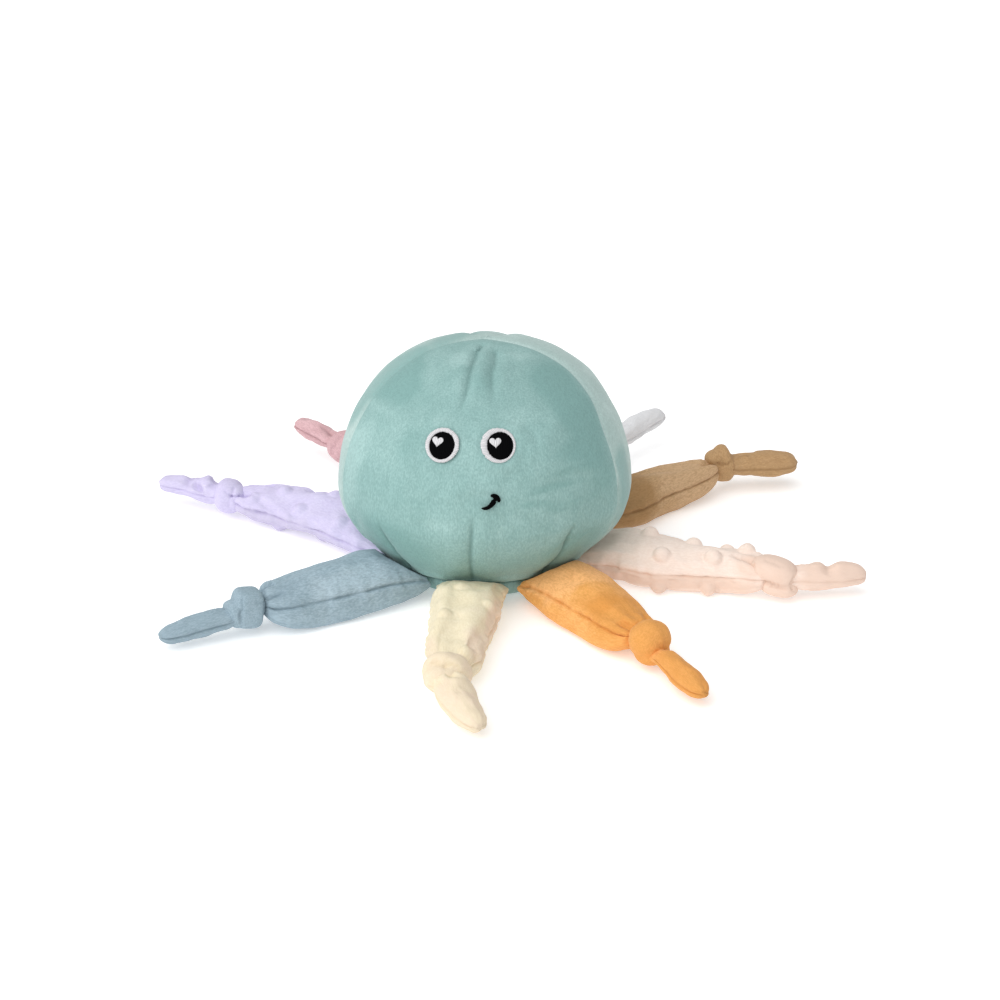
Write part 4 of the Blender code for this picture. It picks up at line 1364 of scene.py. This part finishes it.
def spot_at(co, nap, length, share, degrees, reach):
    """The surface point at this place along and round the arm: its position's index."""
    angle = math.radians(degrees)
    target = np.array([share * length, math.cos(angle) * reach, math.sin(angle) * reach])
    return int(np.argmin(np.linalg.norm(nap - target, axis=1)))


def raise_dots(mesh, nap, line, dots, height, soft):
    """Raised dots in the cloth, each a steep-sided soft dome."""
    arms = sizes("arms")
    reach = nap_reach()
    co = coordinates(mesh)
    out = normals(mesh)
    lift = np.zeros(len(co))
    for share, degrees in dots:
        i = spot_at(co, nap, line.length, share, degrees, reach)
        gap = np.linalg.norm(co - co[i], axis=1) / arms.dot_radius
        dome = np.clip(1 - gap**2.2, 0, 1) ** soft
        dip = -0.10 * np.exp(-(((gap - 1.15) / 0.25) ** 2))
        facing = np.clip((out @ out[i] + 0.2) / 0.6, 0, 1)
        lift += (dome + dip) * facing * height
    move_to(mesh, co + out * lift[:, None])


def press_folds(mesh, nap, line, folds, crease):
    """Folds in the cloth as ((share, degrees) points, depth, half width); a negative depth is a ridge.

    Gives the mask of painted shade, with the shade in the deeper folds added.
    """
    reach = nap_reach()
    for points, depth, half in folds:
        co = coordinates(mesh)
        marks = np.linspace(0, len(points) - 1, 24)
        shares = eased(range(len(points)), [p[0] for p in points], marks)
        degrees = eased(range(len(points)), [p[1] for p in points], marks)
        spots = [co[spot_at(co, nap, line.length, s, d, reach)] for s, d in zip(shares, degrees)]
        gap, index = nearest(co, np.array(spots))
        middle = 1 - np.abs(index / 11.5 - 1) ** 3
        sink = depth * np.clip(middle, 0, 1) * np.exp(-((gap / half) ** 2))
        swell = 0.28 * depth * np.clip(middle, 0, 1) * np.exp(-(((gap - 2.2 * half) / (1.3 * half)) ** 2))
        move_to(mesh, co - normals(mesh) * (sink - swell)[:, None])
        # Painted shade in the deeper folds
        painted_shade = min(1, max(0, depth / 0.003)) * np.clip(middle, 0, 1) * np.exp(-((gap / (0.55 * half)) ** 2))
        crease = np.maximum(crease, painted_shade)
    return crease


def brushed_and_shaded_patches(nap, line, patches):
    """How far the lay of the pile is turned, with patches of painted shade: above 0 where it looks paler, below where
    it looks deeper.
    """
    reach = nap_reach()
    around = np.degrees(np.arctan2(nap[:, 2], nap[:, 1]))
    lay = np.zeros(len(nap))
    for share, degrees, half_long, half_round, strength in patches:
        along = (nap[:, 0] - share * line.length) / half_long
        off = np.radians((around - degrees + 180) % 360 - 180) * reach * 1.15 / half_round
        lay += strength * np.clip((1.35 - np.hypot(along, off)) / 0.7, 0, 1)
    return lay


# Patches of turned pile on an arm, and patches of painted shade on the shaded sides and near the
# knots of the cream and pink arms: share, degrees, half its length, half its breadth, and how strong
ARM_LAY_AND_SHADE_PATCHES = {
    "orange": ((0.24, 90, 0.022, 0.022, 1.1), (0.60, 110, 0.012, 0.010, -0.4), (0.85, 90, 0.018, 0.03, -0.6)),
    "tan": ((0.34, 120, 0.024, 0.03, -0.9), (0.80, 120, 0.024, 0.03, 0.9)),
    "blue": ((0.46, 48, 0.030, 0.010, 0.7), (0.85, 60, 0.010, 0.014, -0.4)),
    "cream": ((0.45, 8, 0.020, 0.010, -1.2), (0.80, 30, 0.014, 0.012, -0.9), (0.9, 150, 0.012, 0.012, -0.6)),
    "pink": ((0.40, -168, 0.050, 0.006, -0.7), (0.74, -156, 0.040, 0.010, -0.5), (0.92, 120, 0.010, 0.012, -0.7)),
    "lavender": ((0.60, -30, 0.050, 0.014, -0.8),),
}


# Raised dots as (share of the arm, degrees round it): 90 is on top, 0 and 180 are the side seams
DOTS = {
    "cream": (
        (0.25, 94), (0.57, 112), (0.90, 62), (0.36, 6), (0.70, 4), (0.42, 46), (0.40, 204), (0.74, 206), (0.34, -90),
        (0.62, -90), (0.48, -48), (0.48, -132),
    ),
    "pink": (
        (0.495, 118), (0.735, 119), (0.37, 66), (0.60, 68), (0.85, 70), (0.46, 12), (0.73, 10), (0.50, -146),
        (0.73, -146), (0.52, -90), (0.78, -84),
    ),
    "white": (
        (0.24, 60), (0.24, 125), (0.40, 92), (0.56, 60), (0.56, 124), (0.72, 92), (0.88, 60), (0.40, 25),
        (0.40, 155), (0.72, 25), (0.72, 155), (0.48, -90), (0.34, -40), (0.64, -40), (0.34, -140), (0.64, -140),
    ),
    "lavender": (
        (0.47, 112), (0.28, 52), (0.56, 50), (0.72, 92), (0.30, 138), (0.58, 140), (0.42, -60), (0.70, -62),
        (0.86, 52), (0.30, -72), (0.56, -95), (0.72, -110),
    ),
}

# How deep the small wrinkles of the thinner, dotted cloths are
WRINKLES = {"cream": 0.0005, "lavender": 0.0008, "pink": 0.0007, "white": 0.0006}

# How high the dots stand, as a share of the dot height, and how soft their edges are
DOT_SHARES = {"cream": (0.60, 1.5), "pink": (1.30, 0.9), "white": (1.0, 1.2), "lavender": (0.85, 1.5)}

# Folds gathered by each knot and others that show, as ((share, degrees) points, depth, half width)
FOLDS = {
    "cream": (
        (((0.99, 30), (0.93, 28), (0.86, 32)), 0.0012, 0.0022),
    ),
    "orange": (
        (((1.0, 120), (0.94, 116), (0.88, 118)), 0.0018, 0.0020),
        (((1.0, 50), (0.94, 54), (0.87, 50)), 0.0018, 0.0020),
    ),
    "pink": (
        (((1.0, 60), (0.92, 52), (0.84, 46)), 0.0026, 0.0020),
        (((1.0, 112), (0.92, 108), (0.80, 112)), 0.0024, 0.0022),
        (((1.0, 20), (0.93, 16), (0.86, 14)), 0.0022, 0.0020),
    ),
    "tan": (
        (((1.0, 100), (0.94, 98), (0.89, 102)), 0.0020, 0.0020),
        (((1.0, 40), (0.94, 36), (0.88, 38)), 0.0018, 0.0020),
    ),
    "white": (
        (((1.0, 100), (0.92, 98), (0.84, 102)), 0.0022, 0.0020),
        (((1.0, 50), (0.92, 48), (0.85, 46)), 0.0020, 0.0020),
    ),
    "rose": (
        (((1.0, 90), (0.92, 92), (0.85, 88)), 0.0020, 0.0020),
        (((1.0, 140), (0.93, 136), (0.87, 138)), 0.0018, 0.0020),
    ),
    "lavender": (
        (((1.0, 116), (0.91, 111), (0.80, 108)), 0.0038, 0.0018),
        (((1.0, 60), (0.93, 62), (0.86, 58)), 0.0020, 0.0020),
        (((0.60, 150), (0.58, 120), (0.62, 100)), 0.0014, 0.0026),
        (((0.34, 160), (0.38, 140), (0.34, 120)), 0.0014, 0.0024),
    ),
    "blue": (
        (((1.0, 122), (0.94, 118), (0.88, 112)), 0.0026, 0.0020),
        (((1.0, 70), (0.94, 72), (0.87, 70)), 0.0020, 0.0020),
        (((1.0, 160), (0.94, 156), (0.88, 150)), 0.0018, 0.0020),
    ),
}


class OCTOPUS_OT_sleeves(bpy.types.Operator):
    """Make the eight stuffed arms, from the seam under the head to their knots"""

    bl_idname = "octopus.sleeves"
    bl_label = "Arms"

    def execute(self, context):
        for number, arm in enumerate(ARMS):
            piece, line = make_sleeve(arm)
            mesh = subdivide(piece, 2)
            nap = read_attribute(mesh, "nap")
            share = read_attribute(mesh, "share")
            reach = nap_reach()
            around = np.arctan2(nap[:, 2], nap[:, 1])
            inside = np.clip(share / 0.06, 0, 1) * np.clip((1 - share) / 0.03, 0, 1)
            co = coordinates(mesh)
            out = normals(mesh)
            side = np.sign(np.cos(around - math.radians(arm.roll))) * 0.02
            run = np.stack([share * line.length, side, side], 1)
            wander = 0.040 * mottle(run, 0.014, number + 160) + 0.020 * mottle(run, 0.005, number + 170)
            shows = np.clip(0.78 + 0.50 * mottle(run, 0.007, number + 180), 0.25, 1)
            off_seam = np.abs((around - wander - math.radians(arm.roll) + math.pi) % (2 * math.pi) - math.pi)
            from_seam = np.minimum(off_seam, math.pi - off_seam) * reach * 1.15
            valley = 0.0013 * shows * np.exp(-((from_seam / 0.0012) ** 2))
            valley += 0.0006 * np.exp(-((from_seam / 0.0035) ** 2))
            # Painted shade along the side seam
            crease = shows * np.exp(-((from_seam / 0.0010) ** 2)) * inside * (0.45 if arm.dotted else 0.9)
            along_seam = np.stack([share * line.length, np.sign(nap[:, 1]) * 0.01, around * 0.002], 1)
            ripple = mottle(along_seam, 0.0052, number)
            puckers = 0.0009 * ripple * np.exp(-((from_seam / 0.0070) ** 2)) * (1.5 if arm.dotted else 1)
            wrinkles = WRINKLES.get(arm.name, 0.0003) * mottle(nap, 0.009, number + 40)
            lumps = 0.0010 * mottle(nap, 0.022, number + 20) + wrinkles
            move_to(mesh, co + out * ((puckers + lumps - valley) * inside)[:, None])
            crease = press_folds(mesh, nap, line, FOLDS[arm.name], crease)
            write_attribute(mesh, "crease", crease)
            # The lay mask also holds patches of painted shade
            write_attribute(mesh, "lay", brushed_and_shaded_patches(nap, line, ARM_LAY_AND_SHADE_PATCHES.get(arm.name, ())))
            if arm.dotted:
                high, soft = DOT_SHARES[arm.name]
                raise_dots(mesh, nap, line, DOTS[arm.name], sizes("arms").dot_height * high, soft)
            pile(mesh, nap, 0.00006, number + 60)
            co = under_head(coordinates(mesh), 0.0008)
            move_to(mesh, in_own_sector(co, arm))
            above_floor(mesh)
            mesh.attributes.remove(mesh.attributes["share"])
            mesh.shade_smooth()
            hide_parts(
                f"{arm.name}_arm_upper_panel", f"{arm.name}_arm_lower_panel", f"{arm.name}_arm_stuffing"
            )
            outward = turned(arm.root_turn)
            start = outward * (sizes("head").seam_radius + 0.001)
            end = outward * (sizes("head").seam_radius + 0.030)
            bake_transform(piece)
        return {"FINISHED"}


# ---- Knots and tails ----

# Each knot as lumps and wraps, in millimetres from its middle. A lump is its middle (along, across,
# up), its half sizes, how it turns and dips, and how square it is (2 is an ellipsoid). A wrap is a
# closed band of cloth: its middle, how it leans about the up and the across directions, its two radii,
# and the half thickness and half width of the band. A crease is a line, its depth and its half width;
# its depth also sets how dark the painted shade along it is.
KNOTS = {
    "cream": {
        "lumps": (
            ((-1.5, 0, 0.0), (8.6, 11.4, 9.4), 0, 0, 2.4),
            ((5.5, -0.5, -0.5), (7.0, 9.4, 7.0), 6, 8, 2.3),
            ((-4.0, 7.0, -2.0), (6.0, 5.0, 6.5), 0, 0, 2.2),
        ),
        "wraps": (((0.5, -0.6, 0.8), 8, -10, 9.6, 8.0, 3.4, 5.0),),
        "creases": (
            (((6.0, 1.0, 8), (5.0, 5, 8), (3.0, 9.5, 5)), 0.6, 1.2),
            (((6.0, 1.0, 8), (5.5, -4, 8), (3.5, -9, 5)), 0.6, 1.2),
        ),
    },
    "orange": {
        "lumps": (((0.0, -0.5, 2.2), (10.4, 11.0, 9.6), 20, 0, 2.1), ((1.5, 0, -4.0), (8.5, 9.0, 6.5), 0, 0, 2.3)),
        "wraps": (((-3.5, 0, -0.5), -20, 8, 7.4, 7.0, 3.2, 3.8),),
    },
    "pink": {
        "lumps": (
            ((-2.0, -1.8, 3.8), (12.4, 9.0, 6.6), 0, 9, 2.5),
            ((1.4, -3.0, -4.6), (10.2, 7.8, 4.8), 4, 7, 2.4),
            ((0, 1.5, -1.0), (8.5, 7.0, 8.0), 0, 0, 2.2),
        ),
        "wraps": (),
        "creases": (
            (((-10, -7, 0.5), (-3, -10, -0.6), (3, -10, -1.6), (10, -7, -3.2)), 1.5, 1.1),
            (((-10, -5, 6), (-10, -7, 0), (-8.5, -8, -6)), 1.2, 1.1),
            (((9.5, -5, 3), (10, -7, -1), (9.5, -7, -5)), 1.2, 1.1),
            (((-6, -5, 9.5), (0, -6, 9), (5, -6, 7)), 0.5, 1.6),
        ),
    },
    "tan": {
        "lumps": (
            ((0.3, 0, -1.0), (8.6, 8.6, 8.8), 0, 0, 2.2),
            ((-4.4, 0.6, 5.6), (6.4, 5.8, 4.2), -20, -10, 2.3),
        ),
        "creases": ((((-8, -5, 3.5), (-3, -8, 3.5), (1.5, -8, 6.5)), 1.0, 1.0),),
        "wraps": (((1.8, 0, 1.0), -26, -8, 8.2, 9.0, 3.4, 4.0),),
    },
    "white": {
        "lumps": (((0, 0, 0), (9.0, 9.5, 9.0), 0, 0, 2.2),),
        "wraps": (((0.5, 0, 0.5), 30, 0, 8.2, 8.0, 3.6, 4.8), ((-2.5, 0, 0.5), -30, 0, 7.6, 7.4, 3.4, 4.0)),
    },
    "rose": {
        "lumps": (((0, 0, -1.0), (8.5, 9.0, 8.5), 0, 0, 2.2),),
        "wraps": (((1.0, 0, 0.5), -28, 0, 8.2, 8.2, 3.6, 4.6), ((-2.5, 0, 0.5), 30, 0, 7.4, 7.4, 3.4, 4.0)),
    },
    "lavender": {
        "lumps": (((0.6, 0, 0.0), (8.2, 9.4, 9.8), 10, -8, 2.4), ((-4.0, 2.0, 0.5), (6.6, 7.5, 7.4), 0, 0, 2.2)),
        "wraps": (((2.4, 0, 0.0), 16, -6, 7.8, 7.9, 3.2, 4.4),),
        "creases": (
            (((-3.5, 8, 4), (-6.5, 7, 3.5), (-10, 5, 2.5)), 1.2, 1.0),
            (((-3.5, 8, 4), (-4.5, 6.5, 7), (-4.0, 4, 9.5)), 0.6, 0.9),
            (((-3.5, 8, 4), (-1.0, 8, 5.5), (1.5, 7, 7.0)), 0.5, 0.9),
            (((-3.5, 8, 4), (-2.8, 9, 0), (-2.0, 9, -4)), 0.5, 0.9),
            (((-3.5, 8, 4), (-6.5, 8, 0), (-8, 7, -3)), 0.5, 0.9),
        ),
    },
    "blue": {
        "lumps": (
            ((0.0, 0, 0.4), (7.6, 8.8, 9.8), 0, -9, 4.2),
            ((7.2, 0.6, -1.4), (4.6, 7.4, 7.2), 10, 12, 2.7),
        ),
        "wraps": (),
        "creases": (
            (((5.6, 6, 10), (6.6, 8.5, 3), (6.8, 8.5, -8)), 1.0, 0.9),
            (((-7.5, 5, 7), (-7.8, 8, 2), (-7, 8.5, -4)), 1.1, 1.0),
            (((-8, 4, 5), (-4, 7.5, 5.5), (-1, 8.5, 6.5)), 0.6, 1.0),
        ),
    },
}


# How the pile lies on each knot and tail, with painted shade on the pink and cream ones: below 0 it
# looks deeper
TIED_LAY_AND_SHADE = {"orange": -0.45, "pink": -0.85, "blue": -0.2, "rose": 0.5, "cream": -0.5, "tan": -0.3}


def add_lump(bm, lump):
    middle, halves, turn, dip, square = lump
    made = bmesh.ops.create_icosphere(bm, subdivisions=4, radius=1)
    for vert in made["verts"]:
        vert.co /= sum(abs(c) ** square for c in vert.co) ** (1 / square)
    place = Matrix.Translation(middle) @ Matrix.Rotation(math.radians(turn), 4, "Z")
    place @= Matrix.Rotation(math.radians(dip), 4, "Y")
    bmesh.ops.scale(bm, verts=made["verts"], vec=halves)
    bmesh.ops.transform(bm, verts=made["verts"], matrix=place)


def add_wrap(bm, wrap):
    """A closed band of cloth round the along direction, leaning, and pinched a little as it goes."""
    middle, lean_up, lean_across, radius_across, radius_up, half_thick, half_wide = wrap
    before = set(bm.verts)
    section = bmesh.ops.create_circle(bm, segments=20, radius=1)["verts"]
    bmesh.ops.rotate(bm, verts=section, matrix=Matrix.Rotation(math.pi / 2, 3, "X"))
    bmesh.ops.translate(bm, verts=section, vec=(3, 0, 0))
    edges = list({edge for vert in section for edge in vert.link_edges})
    bmesh.ops.spin(
        bm, geom=section + edges, cent=(0, 0, 0), axis=(0, 0, 1), angle=2 * math.pi, steps=64, use_merge=True
    )
    place = (
        Matrix.Translation(middle)
        @ Matrix.Rotation(math.radians(lean_up), 4, "Z")
        @ Matrix.Rotation(math.radians(lean_across), 4, "Y")
    )
    for vert in [vert for vert in bm.verts if vert not in before]:
        angle = math.atan2(vert.co.y, vert.co.x)
        out = math.hypot(vert.co.x, vert.co.y) - 3
        wide = half_wide * (1 + 0.18 * math.sin(2 * angle + 0.7))
        thick = half_thick * (1 + 0.10 * math.cos(3 * angle))
        spot = Vector(
            (
                vert.co.z * wide,
                math.cos(angle) * (radius_across + out * thick - half_thick * 0.4),
                math.sin(angle) * (radius_up + out * thick - half_thick * 0.4),
            )
        )
        vert.co = place @ spot


def knot_frame(arm):
    along = turned(arm.knot_heading)
    across = Vector((-along.y, along.x, 0))
    middle = knot_point(arm)
    return Matrix(
        (
            (along.x * MM, across.x * MM, 0, middle.x),
            (along.y * MM, across.y * MM, 0, middle.y),
            (0, 0, MM, middle.z),
            (0, 0, 0, 1),
        )
    )


class OCTOPUS_OT_knots(bpy.types.Operator):
    """Tie the knots: bands of cloth wrapped round a core"""

    bl_idname = "octopus.knots"
    bl_label = "Knots"

    def execute(self, context):
        for number, arm in enumerate(ARMS):
            recipe = KNOTS[arm.name]
            bm = bmesh.new()
            for wrap in recipe["wraps"]:
                add_wrap(bm, wrap)
            for lump in recipe["lumps"]:
                add_lump(bm, lump)
            bmesh.ops.transform(bm, verts=bm.verts, matrix=knot_frame(arm))
            name = f"{arm.name}_arm_knot"
            piece = new_object(name, mesh_from(bm, name), look(f"{arm.name}_cloth"))
            mesh = remesh(piece, 0.00060)
            smooth_shape(mesh, 4)
            local = knot_frame(arm).inverted()
            co = coordinates(mesh)
            grid = np.array([local @ Vector(p) for p in co]) * MM
            turn = np.arctan2(grid[:, 2], grid[:, 1])
            radius = np.hypot(grid[:, 1], grid[:, 2])
            crease = np.zeros(len(co))
            for points, depth, half in recipe.get("creases", ()):
                marks = np.linspace(0, len(points) - 1, 20)
                path = np.stack([eased(range(len(points)), [p[i] for p in points], marks) for i in range(3)], 1) * MM
                spots = np.array([co[np.argmin(np.linalg.norm(grid - p, axis=1))] for p in path])
                gap, index = nearest(co, spots, 0.006)
                fade = np.clip((1 - index / 19) / 0.35, 0, 1)
                sink = depth * MM * fade * np.exp(-((gap / (half * MM)) ** 2))
                co = co - normals(mesh) * sink[:, None]
                # Painted shade in the crease
                painted_shade = min(1, depth / 1.6) * fade * np.exp(-((gap / (0.6 * half * MM)) ** 2))
                crease = np.maximum(crease, painted_shade)
            write_attribute(mesh, "crease", crease)
            # The tied lay paints shade on some knots
            write_attribute(mesh, "lay", np.full(len(co), TIED_LAY_AND_SHADE.get(arm.name, 0)))
            pleats = 0.00035 * mottle(np.stack([grid[:, 0] * 0.3, turn * 0.009, radius * 0.1], 1), 0.0042, number + 80)
            move_to(mesh, co + normals(mesh) * pleats[:, None])
            nap = np.stack([grid[:, 1] + grid[:, 2], grid[:, 0], grid[:, 2] - grid[:, 1]], axis=1)
            write_attribute(mesh, "nap", nap)
            pile(mesh, nap, 0.00006, number + 90, lay=1.6)
            above_floor(mesh)
            mesh.shade_smooth()
            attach(piece, f"{arm.name}_arm")
            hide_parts(f"{arm.name}_knot")
        return {"FINISHED"}


TAIL_SIDES = 32
TAIL_ROWS = 30

# Folds of each tail as ((share, degrees) points, depth, half width)
TAIL_FOLDS = {
    "cream": ((((0.08, 90), (0.14, 92), (0.24, 88)), 0.0012, 0.0018),),
    "orange": ((((0.10, 60), (0.18, 62), (0.28, 56)), 0.0010, 0.0018),),
    "pink": (
        (((0.50, 20), (0.52, 90), (0.48, 150)), 0.0022, 0.0028),
        (((0.12, 60), (0.2, 64), (0.3, 60)), 0.0014, 0.0018),
    ),
    "tan": ((((0.12, 120), (0.2, 110), (0.3, 112)), 0.0014, 0.0018),),
    "white": ((((0.14, 90), (0.25, 86), (0.36, 92)), 0.0014, 0.0018),),
    "rose": ((((0.14, 80), (0.3, 86), (0.5, 84)), 0.0018, 0.0020),),
    "lavender": (
        (((0.16, 60), (0.26, 95), (0.30, 130)), -0.0024, 0.0030),
        (((0.20, 20), (0.34, 50), (0.44, 70)), 0.0018, 0.0017),
        (((0.5, 20), (0.54, 80), (0.52, 130)), 0.0012, 0.0022),
    ),
    "blue": ((((0.12, 110), (0.22, 112), (0.3, 118)), 0.0014, 0.0018),),
}


def tail_shape(arm, share, angle):
    arms = sizes("arms")
    heading = turned(arm.tail_heading)
    tip_heading = turned(arm.tip_heading)
    knot = knot_point(arm)
    start = knot + heading * (arms.knot_radius * 0.35)
    start.z = (knot.z + arm.tip_height) / 2
    chord = (heading + tip_heading).normalized()
    tip = knot + heading * arms.knot_radius + chord * arm.tail_length
    tip.z = arm.tip_height
    line = Centreline(start, heading, tip, tip_heading)
    place, _, across = line.at(share)
    full = eased((0, 0.3, 0.6, 1.0), (arm.tail_shares[0] * 0.8, *arm.tail_shares), share)
    full = full * eased(TIP_PLACES, TIP_SHARES, share)
    side = np.cos(angle)
    rise = np.sin(angle)
    co = place + across * (side * arms.tail_width / 2 * full)[:, None]
    co[:, 2] = place[:, 2] + rise * arms.tail_thickness / 2 * full
    return co, line


class OCTOPUS_OT_tails(bpy.types.Operator):
    """Make the free ends beyond the knots"""

    bl_idname = "octopus.tails"
    bl_label = "Tails"

    def execute(self, context):
        reach = nap_reach()
        for number, arm in enumerate(ARMS):
            bm, rows_at, angles = unit_tube(TAIL_SIDES, TAIL_ROWS)
            share = rows_at / TAIL_ROWS
            share = share + 0.22 / (2 * math.pi) * np.sin(math.pi * share)
            share = share / share.max()
            pole = (rows_at == 0) | (rows_at == TAIL_ROWS)
            co, line = tail_shape(arm, share, angles)
            middle = line.at(share)[0]
            co[pole] = middle[pole]
            piece = tube_piece(f"{arm.name}_arm_tail", arm, bm, co, share, angles, pole, line.length)
            held = np.clip(1 - share / 0.12, 0, 1)
            seam_near = np.exp(-((np.abs(np.sin(angles)) / 0.2) ** 2))
            puff_up(piece, 3.0, 0.0012, held, seam_near, 0.10, 14)
            mesh = subdivide(piece, 2)
            nap = read_attribute(mesh, "nap")
            share = read_attribute(mesh, "share")
            around = np.arctan2(nap[:, 2], nap[:, 1])
            off_axis = np.clip(np.hypot(nap[:, 1], nap[:, 2]) / reach * 1.5, 0, 1)
            from_seam = np.minimum(np.abs(around), math.pi - np.abs(around)) * 0.0075
            valley = 0.0008 * np.exp(-((from_seam / 0.0011) ** 2)) * off_axis * np.clip((1 - share) / 0.08, 0, 1)
            lumps = 0.0006 * mottle(nap, 0.012, number + 100) + 0.0003 * mottle(nap, 0.006, number + 120)
            co = coordinates(mesh)
            move_to(mesh, co + normals(mesh) * (lumps - valley)[:, None])
            # Painted shade along the side seam
            crease = np.exp(-((from_seam / 0.0010) ** 2)) * off_axis * (0.4 if arm.dotted else 0.8)
            write_attribute(mesh, "crease", press_folds(mesh, nap, line, TAIL_FOLDS[arm.name], crease))
            # The tied lay paints shade on some tails
            write_attribute(mesh, "lay", np.full(len(nap), TIED_LAY_AND_SHADE.get(arm.name, 0)) * np.clip(share / 0.3, 0, 1))
            pile(mesh, nap, 0.00006, number + 140)
            above_floor(mesh)
            mesh.attributes.remove(mesh.attributes["share"])
            mesh.shade_smooth()
            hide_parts(f"{arm.name}_tail")
            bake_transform(piece)
        return {"FINISHED"}


# ---- The studio ----


# The camera's lens in millimetres, and how far right of and above the origin it looks
CAMERA_LENS = 92.3
AIM = (0.0090, 0.0333)
# Each soft light: how it is turned in degrees, its share of the key strength and its spread in degrees
SOFT_LIGHTS = {
    "overhead_light": ((26, -20, 0), 1.0, 75),
    "side_light": ((50, 0, -52), 0.50, 70),
}


class OCTOPUS_OT_stage(bpy.types.Operator):
    """Set up the pale floor, the soft light and the camera"""

    bl_idname = "octopus.stage"
    bl_label = "Studio"

    def execute(self, context):
        studio = sizes("studio")
        scene = context.scene
        scene.view_settings.view_transform = "Standard"
        scene.view_settings.look = "None"
        self.add_floor(studio.floor_size, studio.table_glow)
        world = bpy.data.worlds.new("studio_light")
        scene.world = world
        world.use_nodes = True
        backdrop = world.node_tree.nodes["Background"]
        backdrop.inputs["Color"].default_value = (1, 1, 1, 1)
        backdrop.inputs["Strength"].default_value = studio.ambient
        for name, (turn, share, spread) in SOFT_LIGHTS.items():
            self.add_sun(name, [math.radians(part) for part in turn], studio.key * share, math.radians(spread))
        self.add_camera(studio)
        return {"FINISHED"}

    def add_floor(self, size, glow):
        bm = bmesh.new()
        bmesh.ops.create_grid(bm, x_segments=2, y_segments=2, size=size / 2)
        floor_look = bpy.data.materials.new("pale_floor")
        floor_look.use_nodes = True
        shader = floor_look.node_tree.nodes["Principled BSDF"]
        shader.inputs["Base Color"].default_value = (0.93, 0.93, 0.93, 1)
        shader.inputs["Roughness"].default_value = 0.9
        shader.inputs["Specular IOR Level"].default_value = 0.1
        shader.inputs["Emission Color"].default_value = (1, 1, 1, 1)
        shader.inputs["Emission Strength"].default_value = glow
        floor = new_object("floor", mesh_from(bm, "floor"), floor_look)

    def add_sun(self, name, turn, strength, spread):
        sun = bpy.data.lights.new(name, "SUN")
        sun.energy = strength
        sun.angle = spread
        lamp = bpy.data.objects.new(name, sun)
        lamp.rotation_euler = turn
        bpy.context.scene.collection.objects.link(lamp)

    def add_camera(self, studio):
        seen = bpy.data.cameras.new("camera")
        seen.sensor_width = 36
        seen.lens = CAMERA_LENS
        camera = bpy.data.objects.new("camera", seen)
        bpy.context.scene.collection.objects.link(camera)
        level = math.cos(studio.elevation)
        back = Vector(
            (math.sin(studio.azimuth) * level, -math.cos(studio.azimuth) * level, math.sin(studio.elevation))
        )
        right = Vector((math.cos(studio.azimuth), math.sin(studio.azimuth), 0))
        target = right * AIM[0] + back.cross(right) * AIM[1]
        camera.location = back * studio.distance
        camera.rotation_euler = (target - camera.location).to_track_quat("-Z", "Y").to_euler()
        bpy.context.scene.camera = camera


class OCTOPUS_PT_panel(bpy.types.Panel):
    """Lists the pieces of the octopus and its sizes"""

    bl_idname = "OCTOPUS_PT_panel"
    bl_label = "Octopus"
    bl_space_type = "VIEW_3D"
    bl_region_type = "UI"
    bl_category = "Octopus"

    def draw(self, context):
        for maker in MAKERS:
            self.layout.operator(maker.bl_idname)
        for group in GROUPS:
            box = self.layout.box()
            box.label(text=group.capitalize())
            for key in GROUPS[group].__annotations__:
                box.prop(sizes(group), key)


GROUPS = {
    "head": OctopusHeadSizes,
    "face": OctopusFaceSizes,
    "arms": OctopusArmSizes,
    "colours": OctopusColours,
    "studio": OctopusStudio,
}
MAKERS = (
    OCTOPUS_OT_stage,
    OCTOPUS_OT_head,
    OCTOPUS_OT_base,
    OCTOPUS_OT_eyes,
    OCTOPUS_OT_mouth,
    OCTOPUS_OT_sleeves,
    OCTOPUS_OT_knots,
    OCTOPUS_OT_tails,
)


def register():
    for group, kind in GROUPS.items():
        bpy.utils.register_class(kind)
        setattr(bpy.types.Scene, f"octopus_{group}", PointerProperty(type=kind))
    for maker in MAKERS:
        bpy.utils.register_class(maker)
    bpy.utils.register_class(OCTOPUS_PT_panel)


def unregister():
    bpy.utils.unregister_class(OCTOPUS_PT_panel)
    for maker in reversed(MAKERS):
        bpy.utils.unregister_class(maker)
    for group, kind in reversed(GROUPS.items()):
        delattr(bpy.types.Scene, f"octopus_{group}")
        bpy.utils.unregister_class(kind)


def main():
    register()
    bpy.ops.octopus.stage()
    bpy.ops.octopus.head()
    bpy.ops.octopus.base()
    bpy.ops.octopus.eyes()
    bpy.ops.octopus.mouth()
    bpy.ops.octopus.sleeves()
    bpy.ops.octopus.knots()
    bpy.ops.octopus.tails()


if __name__ == "__main__":
    main()
